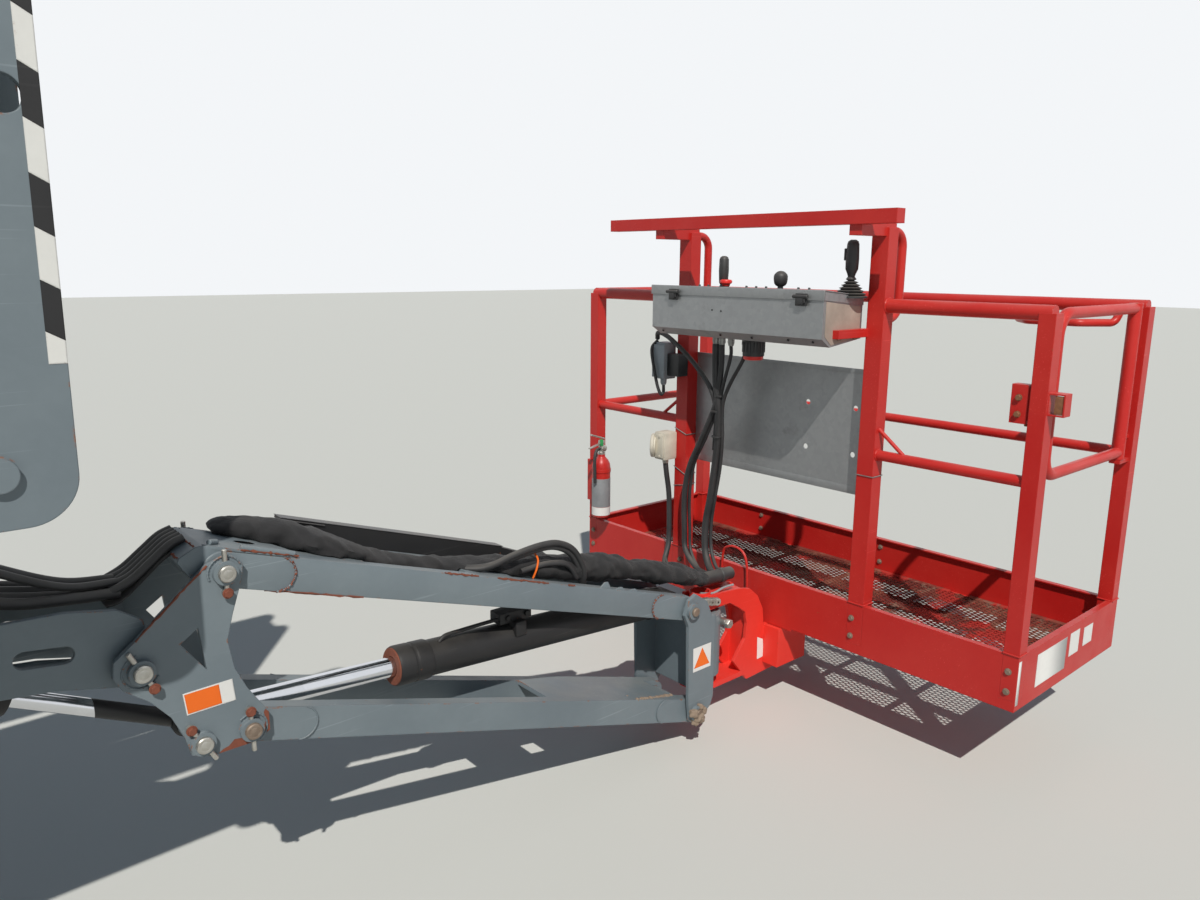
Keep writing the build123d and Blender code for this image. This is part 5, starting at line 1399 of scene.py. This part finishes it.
# Chassis: bearing bolts, wheel motors, shackles and hoses under the frame
def chassis_details():
    spots = [((SLEW_X + 0.415 * cos(a), 0.415 * sin(a), 0.8), UP) for a in circle(36)[:-1]]
    scatter("bearing_bolts", "chassis", BOLT_DULL, BOLT, spots, 0.0095)
    b = Build()
    for side in (-1, 1):
        b.turned((-2.94, side * 0.775, AXLE_Z), (0, -side, 0), [(0, 0.078), (0.03, 0.078), (0.036, 0.06),
            (0.12, 0.055), (0.128, 0.048)], 32)
        b.block((-2.985, side * 0.7 - 0.035, AXLE_Z + 0.04), (-2.895, side * 0.7 + 0.035, AXLE_Z + 0.085),
            0.004)
    b.finish("wheel_motors", "chassis", BLACK)
    b = Build()
    for side in (-1, 1):
        for k in range(3):
            x, z = -2.965 + 0.03 * k, 0.48
            b.hose([(x, side * 0.7, z), (x, side * 0.68, z + 0.045), (x + 0.06, side * 0.56, z + 0.075),
                (x + 0.14, side * 0.45, z + 0.06), (x + 0.2, side * 0.395, z + 0.045)], 0.0085, 10, 6)
    b.finish("motor_hoses", "chassis", HOSE)
    b = Build()
    for end in (-1, 1):
        for side in (-1, 1):
            x, y = SLEW_X + end * 1.195, side * 0.28
            ring = [(x + end * 0.014 * cos(a), y + 0.006 * cos(a), 0.552 + 0.036 * sin(a))
                for a in circle(18)]
            b.hose(ring, 0.0065, 10, 2)
    b.finish("tie_down_rings", "chassis", BOLT_ZINC)
    b = Build()
    for side in (-1, 1):
        for x0, x1 in FRAME_COVERS:
            b.block((x0, side * 0.3995, 0.5), (x1, side * 0.4035, 0.64), 0.0015)
    b.finish("frame_covers", "chassis", GREY)
    spots = []
    for side in (-1, 1):
        for x0, x1 in FRAME_COVERS:
            for x in (x0 + 0.02, (x0 + x1) / 2, x1 - 0.02):
                for z in (0.518, 0.622):
                    spots.append(((x, side * 0.4035, z), (0, side, 0)))
    scatter("frame_cover_bolts", "chassis", BOLT_DULL, BOLT, spots, 0.0065)


chassis_details()


# Hoods: louvre lips, latches, ribs, grab bars and blank plates
def louvre_shape():
    b = Build()
    lip = [(-0.008, 0), (-0.004, 0.005), (0.003, 0.0085), (0.013, 0.01), (0.013, 0.0086), (0.004, 0.0071),
        (-0.0025, 0.004), (-0.0055, 0)]
    b.prism(lip, -0.214, 0.214, "x")
    return template("louvre_shape", b)


def hoods():
    louvre = louvre_shape()
    for side, body, slot in ((1, "engine_hood", "engine"), (-1, "tank_hood", "tank")):
        spots = []
        for n in range(7):
            for x in (SLEW_X - 0.64, SLEW_X + 0.12):
                spots.append(((x + 0.21, side * 0.9995, 1.55 - 0.19 - n * 0.034 + 0.007), (0, side, 0),
                    (side, 0, 0)))
        scatter(slot + "_hood_louvres", body, GREY, louvre, spots)
        b = Build()
        y0, y1 = side * 0.999, side * 1.0035
        for x0, x1, z0, z1 in ((-2.98, -1.98, 1.045, 1.058), (-1.92, -1.02, 1.045, 1.058),
                (-1.958, -1.944, 0.94, 1.43), (-3.084, -3.07, 0.94, 1.43), (-0.942, -0.928, 0.94, 1.43)):
            b.block((x0, y0, z0), (x1, y1, z1), 0.0018)
        for x in (-2.6, -1.45):
            b.hose([(x - 0.09, side * 0.998, 1.115), (x - 0.09, side * 1.03, 1.12),
                (x - 0.06, side * 1.04, 1.12), (x + 0.06, side * 1.04, 1.12), (x + 0.09, side * 1.03, 1.12),
                (x + 0.09, side * 0.998, 1.115)], 0.007, 12, 5)
        for y in (0.6, 0.74):
            b.block((-3.0, side * y - 0.01, 1.549), (-1.02, side * y + 0.01, 1.5535), 0.0018)
        b.finish(slot + "_hood_ribs", body, GREY)
        b = Build()
        for x in (-2.6, -1.45):
            b.block((x - 0.06, side * 0.999, 0.96), (x + 0.06, side * 1.004, 1.03), 0.002)
            b.block((x - 0.046, side * 1.003, 0.972), (x + 0.046, side * 1.011, 1.004), 0.0035)
            b.lathe((x, side * 1.0038, 1.018), (0, side, 0), [(0, 0), (0, 0.009), (0.004, 0.009),
                (0.005, 0.006), (0.003, 0.0)], 18)
        b.finish(slot + "_hood_latches", body, PLASTIC)
        b = Build()
        for x0, x1, z in ((-3.04, -2.86, 1.26), (-1.2, -1.06, 1.2)):
            b.block((x0, side * 0.9998, z), (x1, side * 1.0006, z + 0.1), 0.0003)
        b.finish(slot + "_hood_plates", body, LABEL)
    b = Build()
    b.turned((-2.72, 0.8, 1.545), UP, [(0, 0.055), (0.006, 0.055), (0.008, 0.034), (0.07, 0.033),
        (0.071, 0.029), (0.02, 0.028)], 32)
    b.finish("exhaust_tip", "engine_hood", PIN_RUST, slot="engine_iron")


hoods()


# Engine and tank under the hoods
def under_hoods():
    b = Build()
    b.block((-2.78, 0.6, 1.435), (-2.16, 0.84, 1.485), 0.012)
    for x in (-2.68, -2.52, -2.36, -2.24):
        b.turned((x, 0.72, 1.484), UP, [(0, 0.02), (0.012, 0.018), (0.016, 0.01)], 20)
    b.turned((-2.052, 0.72, 1.12), AHEAD, [(0, 0.105), (0.01, 0.105), (0.014, 0.094), (0.026, 0.094),
        (0.03, 0.105), (0.04, 0.105), (0.04, 0.03), (0.06, 0.026)], 40)
    b.turned((-2.052, 0.86, 1.32), AHEAD, [(0, 0.052), (0.012, 0.052), (0.016, 0.044), (0.026, 0.044),
        (0.03, 0.052), (0.04, 0.052)], 32)
    b.turned((-2.62, 0.935, 1.1), (0, -1, 0), [(-0.01, 0.045), (0.0, 0.048), (0.02, 0.048)], 28)
    b.turned((-2.05, 0.6, 1.38), AHEAD, [(0, 0.085), (0.3, 0.085), (0.31, 0.078), (0.31, 0.06),
        (0.34, 0.055)], 36)
    b.finish("engine_parts", "turret", IRON)
    b = Build()
    b.hose([(-2.3, 0.72, 1.48), (-2.24, 0.7, 1.505), (-2.1, 0.66, 1.5), (-1.98, 0.62, 1.47),
        (-1.92, 0.6, 1.44)], 0.022, 16, 6)
    b.hose([(-2.05, 0.92, 1.0), (-1.9, 0.93, 0.99), (-1.7, 0.9, 0.97), (-1.55, 0.8, 0.95),
        (-1.45, 0.66, 0.94)], 0.014, 12, 6)
    b.hose([(-2.05, 0.88, 1.06), (-1.88, 0.89, 1.04), (-1.66, 0.86, 1.0), (-1.48, 0.74, 0.96),
        (-1.4, 0.6, 0.94)], 0.012, 12, 6)
    b.finish("engine_hoses", "turret", HOSE)
    b = Build()
    b.turned((-2.7, -0.74, 1.379), UP, [(0, 0.052), (0.01, 0.052), (0.012, 0.044), (0.034, 0.042),
        (0.038, 0.034)], 32)
    b.block((-1.95, -0.8, 1.379), (-1.74, -0.66, 1.392), 0.003)
    b.turned((-1.85, -0.73, 1.391), UP, [(0, 0.045), (0.06, 0.045), (0.066, 0.036)], 28)
    b.block((-2.3, -0.9345, 1.06), (-2.26, -0.9295, 1.32), 0.002)
    b.finish("tank_parts", "turret", BLACK)


under_hoods()


# Turntable: controls at the ground box, weight's bolts and eyes, beacon, pins' keepers
def turret_details():
    box_face, weight_back, weight_top = -0.8028, -3.3495, 1.5595
    beacon_x, beacon_y = -3.21, 0.86
    b = Build()
    b.block((-0.8105, -0.852, 1.06), (-0.805, -0.568, 1.392), 0.002)
    b.block((-0.8055, -0.838, 1.21), (-0.8025, -0.582, 1.378), 0.001)
    b.block((-0.915, -0.866, 1.396), (-0.8, -0.554, 1.404), 0.002)
    for z in (1.11, 1.34):
        b.rod((-0.8035, -0.862, z - 0.025), (-0.8035, -0.862, z + 0.025), 0.0065, 12, 0.001)
    b.finish("ground_box_front", "turret", ZINC)
    b = Build()
    for k in range(5):
        for z in (1.245, 1.3):
            y = -0.815 + 0.05 * k
            b.turned((box_face, y, z), AHEAD, [(0, 0.01), (0.004, 0.01), (0.006, 0.006), (0.01, 0.006)], 16)
            b.lathe((-0.795, y, z), (1, 0, 0.35), [(0, 0.003), (0.016, 0.0045), (0.02, 0.004), (0.0205, 0)],
                12)
    b.block((box_face, -0.824, 1.332), (-0.799, -0.7, 1.366), 0.001)
    b.turned((-0.8048, -0.585, 1.13), AHEAD, [(0, 0.016), (0.008, 0.015)], 20)
    b.finish("ground_box_switches", "turret", PLASTIC)
    b = Build()
    b.turned((box_face, -0.62, 1.34), AHEAD, [(0, 0.014), (0.008, 0.014), (0.01, 0.021), (0.018, 0.021),
        (0.022, 0.016)], 28)
    b.finish("ground_box_stop", "turret", RED_PLASTIC)
    b = Build()
    for y in (-0.84, -0.3, 0.3, 0.84):
        for z in (1.02, 1.3):
            b.turned((weight_back, y, z), BACKWARD, [(-0.002, 0.045), (-0.0005, 0.045), (0.0015, 0.041)],
                28)
    b.finish("weight_bosses", "turret", BLACK)
    spots = [((weight_back, y, z), BACKWARD) for y in (-0.84, -0.3, 0.3, 0.84) for z in (1.02, 1.3)]
    scatter("weight_bolts", "turret", BOLT_DULL, BOLT, spots, 0.009)
    b = Build()
    for y in (-0.55, 0.55):
        ring = [(-3.19, y + 0.034 * cos(a), 1.578 + 0.034 * sin(a)) for a in circle(20)]
        b.hose(ring, 0.009, 12, 2)
        b.turned((-3.19, y, weight_top), UP, [(0, 0.024), (0.006, 0.024), (0.008, 0.018)], 24)
    b.finish("lifting_eyes", "turret", BOLT_DULL)
    b = Build()
    b.block((-3.3512, -0.16, 1.18), (-3.3498, 0.16, 1.34), 0.0004)
    for side in (-1, 1):
        b.block((-3.26, side * 0.9995, 1.16), (-3.16, side * 1.0008, 1.26), 0.0004)
    b.finish("weight_plates", "turret", LABEL)
    b = Build()
    b.turned((beacon_x, beacon_y, weight_top), UP, [(0, 0.052), (0.022, 0.05), (0.026, 0.046)], 32)
    b.finish("beacon_base", "turret", PLASTIC)
    b = Build()
    b.lathe((beacon_x, beacon_y, 1.584), UP, [(0, 0), (0, 0.044), (0.01, 0.0445), (0.06, 0.04),
        (0.078, 0.03), (0.086, 0.016), (0.088, 0)], 36)
    for k in range(12):
        x, y = cos(2 * pi * k / 12), sin(2 * pi * k / 12)
        b.rod((beacon_x + 0.044 * x, beacon_y + 0.044 * y, 1.59),
            (beacon_x + 0.0395 * x, beacon_y + 0.0395 * y, 1.642), 0.0016, 6)
    b.finish("beacon_dome", "turret", AMBER)
    b = Build()
    for side in (-1, 1):
        for x in (-2.2, -1.2):
            b.block((x, side * 0.9995, 0.888), (x + 0.1, side * 1.0025, 0.914), 0.001)
    b.finish("side_reflectors", "turret", AMBER)
    b = Build()
    b.block((-1.045, -0.4, 0.9195), (-0.87, 0.62, 0.9235), 0.001)
    for i in range(6):
        for j in range(30):
            x, y = -1.03 + 0.029 * i, -0.385 + 0.0335 * j
            b.block((x - 0.008, y - 0.0022, 0.9232), (x + 0.008, y + 0.0022, 0.9248), 0,
                (radians(45 if (i + j) % 2 else -45), "Z"))
    b.finish("deck_tread_plate", "turret", ZINC)


turret_details()


# Riser and boom: pin keepers, hoses with clamps, carrier, wear pads and bolts
RISER_PINS = {"turret": [(-2.77, 1.1), (-2.92, 1.3)], "mid_links": [(0.274, 1.427), (0.45, 1.9),
    (0.3, 1.7)], "upright": [(-2.74, 1.93), (-2.89, 1.73)]}


def riser_details():
    for body, pins in RISER_PINS.items():
        face = 0.446 if body == "mid_links" else 0.436
        b, spots = Build(), []
        for side in (-1, 1):
            for x, z in pins:
                y0, y1 = sorted((side * (face - 0.001), side * (face + 0.007)))
                if body != "mid_links":
                    b.turned((x, side * (face - 0.001), z), (0, side, 0),
                        [(0, 0.036), (0.006, 0.036), (0.009, 0.032)], 32)
                    b.block((x - 0.048, y0, z - 0.062), (x + 0.048, y1, z - 0.034), 0.002)
                    for dx in (-0.034, 0.034):
                        spots.append(((x + dx, side * (face + 0.007), z - 0.048), (0, side, 0)))
                else:
                    b.turned((x, side * (face - 0.001), z), (0, side, 0),
                        [(0, 0.022), (0.003, 0.022), (0.005, 0.018)], 28)
        b.finish(body + "_pin_keepers", body, GREY)
        if spots:
            scatter(body + "_keeper_bolts", body, BOLT_DULL, BOLT, spots, 0.0085)
    for body, low, high, x0, x1 in (("lower_arms", (-2.77, 1.1), (0.424, 1.227), -2.45, 0.1),
            ("upper_arms", (-2.74, 1.93), (0.45, 1.9), -2.45, 0.1)):
        slope = (high[1] - low[1]) / (high[0] - low[0])
        b, clamps, spots = Build(), Build(), []
        for side in (-1, 1):
            for k in range(4):
                y = side * (0.318 + 0.024 * k)
                lift = 0.0605 + 0.0095
                points = []
                for n in range(9):
                    x = x0 + (x1 - x0) * n / 8
                    points.append((x, y + 0.003 * sin(n * 2.1 + k), low[1] + slope * (x - low[0]) + lift))
                b.hose(points, 0.0092, 10, 4)
            for n in range(5):
                x = x0 + 0.1 + (x1 - x0 - 0.2) * n / 4
                z = low[1] + slope * (x - low[0]) + 0.0605
                y0, y1 = sorted((side * 0.302, side * 0.406))
                clamps.block((x - 0.015, y0, z - 0.001), (x + 0.015, y1, z + 0.0225), 0.003)
                for y in (0.308, 0.401):
                    spots.append(((x, side * y, z + 0.0225), UP))
        b.finish(body + "_hoses", body, HOSE)
        clamps.finish(body + "_hose_clamps", body, PLASTIC)
        scatter(body + "_clamp_bolts", body, BOLT_DULL, BOLT, spots, 0.0045)


def along_boom(b, low, high, bevel=0.0):
    for v in b.block(low, high, bevel):
        v.co = on_boom(v.co.x, v.co.z, v.co.y)


def chain_link():
    b = Build()
    for y in (-0.018, 0.015):
        b.block((-0.021, y, 0), (0.021, y + 0.003, 0.022), 0.001)
    b.block((-0.006, -0.018, 0.018), (0.006, 0.018, 0.0215), 0.001)
    return template("chain_link", b)


def boom_details():
    b = Build()
    along_boom(b, (-2.55, -0.15, -0.052), (-1.02, -0.101, -0.048), 0.0008)
    along_boom(b, (-2.55, -0.15, -0.05), (-1.02, -0.1475, -0.006), 0.0008)
    for u in (-2.45, -2.05, -1.65, -1.25):
        along_boom(b, (u, -0.1475, -0.075), (u + 0.03, -0.1005, -0.052), 0.001)
    b.finish("hose_carrier_tray", "boom", GREY)
    tilt = on_boom(0, 1) - on_boom(0, 0)
    run = on_boom(1, 0) - on_boom(0, 0)
    spots = [(tuple(on_boom(-2.52 + 0.045 * k, -0.047, -0.1245)), tuple(tilt), tuple(run))
        for k in range(33)]
    scatter("hose_carrier_chain", "boom", PLASTIC, chain_link(), spots)
    b = Build()
    b.rod(on_boom(-2.3, 0.01, -0.1245), on_boom(-0.9, 0.01, -0.1245), 0.0095, 14, 0.001)
    along_boom(b, (-0.915, -0.133, -0.02), (-0.885, -0.0845, 0.03), 0.002)
    b.finish("carrier_push_tube", "fly", ZINC)
    b = Build()
    for side in (-1, 1):
        y0, y1 = sorted((side * 0.0862, side * 0.1))
        for v0, v1 in ((-0.08, -0.03), (0.03, 0.08)):
            along_boom(b, (-0.952, y0, v0), (-0.94, y1, v1), 0.001)
    for v0, v1 in ((-0.1, -0.0862), (0.0862, 0.1)):
        along_boom(b, (-0.952, -0.07, v0), (-0.94, 0.07, v1), 0.001)
    b.finish("wear_pads", "boom", BEIGE, slot="black_plastic")
    spots = []
    for side in (-1, 1):
        for u in (-1.075, -0.99):
            for v in (-0.055, 0.055):
                spots.append((tuple(on_boom(u, v, side * 0.101)), (0, side, 0)))
    for sign in (-1, 1):
        for u in (-1.075, -0.99):
            for y in (-0.045, 0.045):
                spots.append((tuple(on_boom(u, sign * 0.105, y)), tuple(tilt * sign)))
    scatter("wear_pad_bolts", "boom", BOLT_DULL, BOLT, spots, 0.0095)
    b = Build()
    for u0, u1 in ((-1.14, -0.955), (-3.1, -2.96)):
        for side in (-1, 1):
            y0, y1 = sorted((side * 0.1, side * 0.1045))
            along_boom(b, (u0, y0, -0.1), (u0 + 0.012, y1, 0.1), 0.001)
            along_boom(b, (u1 - 0.012, y0, -0.1), (u1, y1, 0.1), 0.001)
        along_boom(b, (u0, -0.1045, 0.104), (u1, 0.1045, 0.1085), 0.001)
    b.finish("boom_bands", "boom", GREY)


riser_details()
boom_details()


# Hydraulic cylinders: gland rings, ports and pipes
RISER_RAM = ((-0.875, 1.1754), (0.1, 1.9033))
LEVEL_RAM = ((0.0206, 0.926), (0.7432, 0.5682))


def ram_fittings(name, body, foot, head, length, radius, rod, lane):
    aim = (Vector((head[0], 0, head[1])) - Vector((foot[0], 0, foot[1]))).normalized()
    up = Vector((-aim.z, 0, aim.x))
    up = up if up.z > 0 else -up
    b = Build()
    for y in lane:
        start = Vector((foot[0], y, foot[1]))
        end = start + aim * length
        b.lathe(end - aim * 0.05, aim, [(0, radius - 0.001), (0, radius + 0.003), (0.004, radius + 0.0045),
            (0.046, radius + 0.0045), (0.05, radius + 0.002), (0.052, rod + 0.004), (0.052, rod + 0.0012)],
            36)
        for along in (length - 0.085, 0.115):
            port = start + aim * along + up * (radius - 0.002)
            b.turned(port, up, [(0, 0.015), (0.014, 0.015), (0.015, 0.011), (0.026, 0.011)], 12)
        p = start + aim * 0.115 + up * (radius + 0.018)
        q = start + aim * (length - 0.2) + up * (radius + 0.01)
        b.hose([p, p + aim * 0.05, q - aim * 0.1, q, q + aim * 0.1 + up * 0.006], 0.0052, 10, 6)
        for t in (0.35, 0.7):
            at = p.lerp(q, t)
            b.lathe(start + aim * (at - start).dot(aim), aim, [(0, radius - 0.001), (0, radius + 0.0022),
                (0.012, radius + 0.0022), (0.012, radius - 0.001)], 32)
    b.finish(name + "_fittings", body, BLACK)


ram_fittings("riser_cylinder", "riser_barrels", RISER_RAM[0], RISER_RAM[1], 1.09, 0.04, 0.025,
    (-0.203, 0.203))
ram_fittings("lift_cylinder", "lift_barrel", (-2.76, 1.48), (-1.96, 1.365), 0.7, 0.046, 0.028, (0.0,))
ram_fittings("level_cylinder", "level_barrel", LEVEL_RAM[0], LEVEL_RAM[1], 0.47, 0.032, 0.018, (0.0,))


# Bottom strips of the fly's fork
def tip_parts():
    b = Build()
    path = [(0.4, 0.76), (0.418, 0.757), (0.504, 0.748), (0.565, 0.734)]
    outline = path + [(x, z + 0.004) for x, z in path[::-1]]
    for low, high in ((-0.06, -0.03), (0.03, 0.06)):
        b.prism(outline, low, high)
    b.finish("fork_bottom_strips", "fly", GREY)


tip_parts()


# Floor and light
ground = bpy.data.meshes.new("ground")
ground.from_pydata([(-40, -40, 0), (40, -40, 0), (40, 40, 0), (-40, 40, 0)], [], [(0, 1, 2, 3)])
ground_obj = bpy.data.objects.new("ground", ground)
bpy.context.scene.collection.objects.link(ground_obj)
material, s, place = surface("pale_floor")
skin(s, (0.61, 0.62, 0.59), 0.85)
ground.materials.append(material)

world = bpy.data.worlds.new("studio")
bpy.context.scene.world = world
world.use_nodes = True
world.node_tree.nodes.clear()
s = Shade(world.node_tree)
sky = s.add("ShaderNodeBackground", {"Color": (0.62, 0.79, 1.0, 1), "Strength": 0.19})
seen = s.add("ShaderNodeBackground", {"Color": (0.9, 0.92, 0.94, 1), "Strength": 1.0})
rays = s.add("ShaderNodeLightPath").outputs
seen_rays = s.larger(s.larger(rays["Is Camera Ray"], rays["Is Glossy Ray"]), rays["Is Transmission Ray"])
both = s.add("ShaderNodeMixShader", {0: seen_rays, 1: sky.outputs[0], 2: seen.outputs[0]})
s.add("ShaderNodeOutputWorld", {0: both.outputs[0]})

sun = bpy.data.objects.new("sun", bpy.data.lights.new("sun", "SUN"))
bpy.context.scene.collection.objects.link(sun)
sun.data.energy = 3.55
sun.data.angle = radians(0.6)
sun.data.color = (1.0, 0.96, 0.9)
sun.rotation_euler = Vector((0.56, 0.72, -1.0)).to_track_quat("-Z", "Y").to_euler()

bpy.context.scene.view_settings.view_transform = "Standard"
bpy.context.view_layer.update()
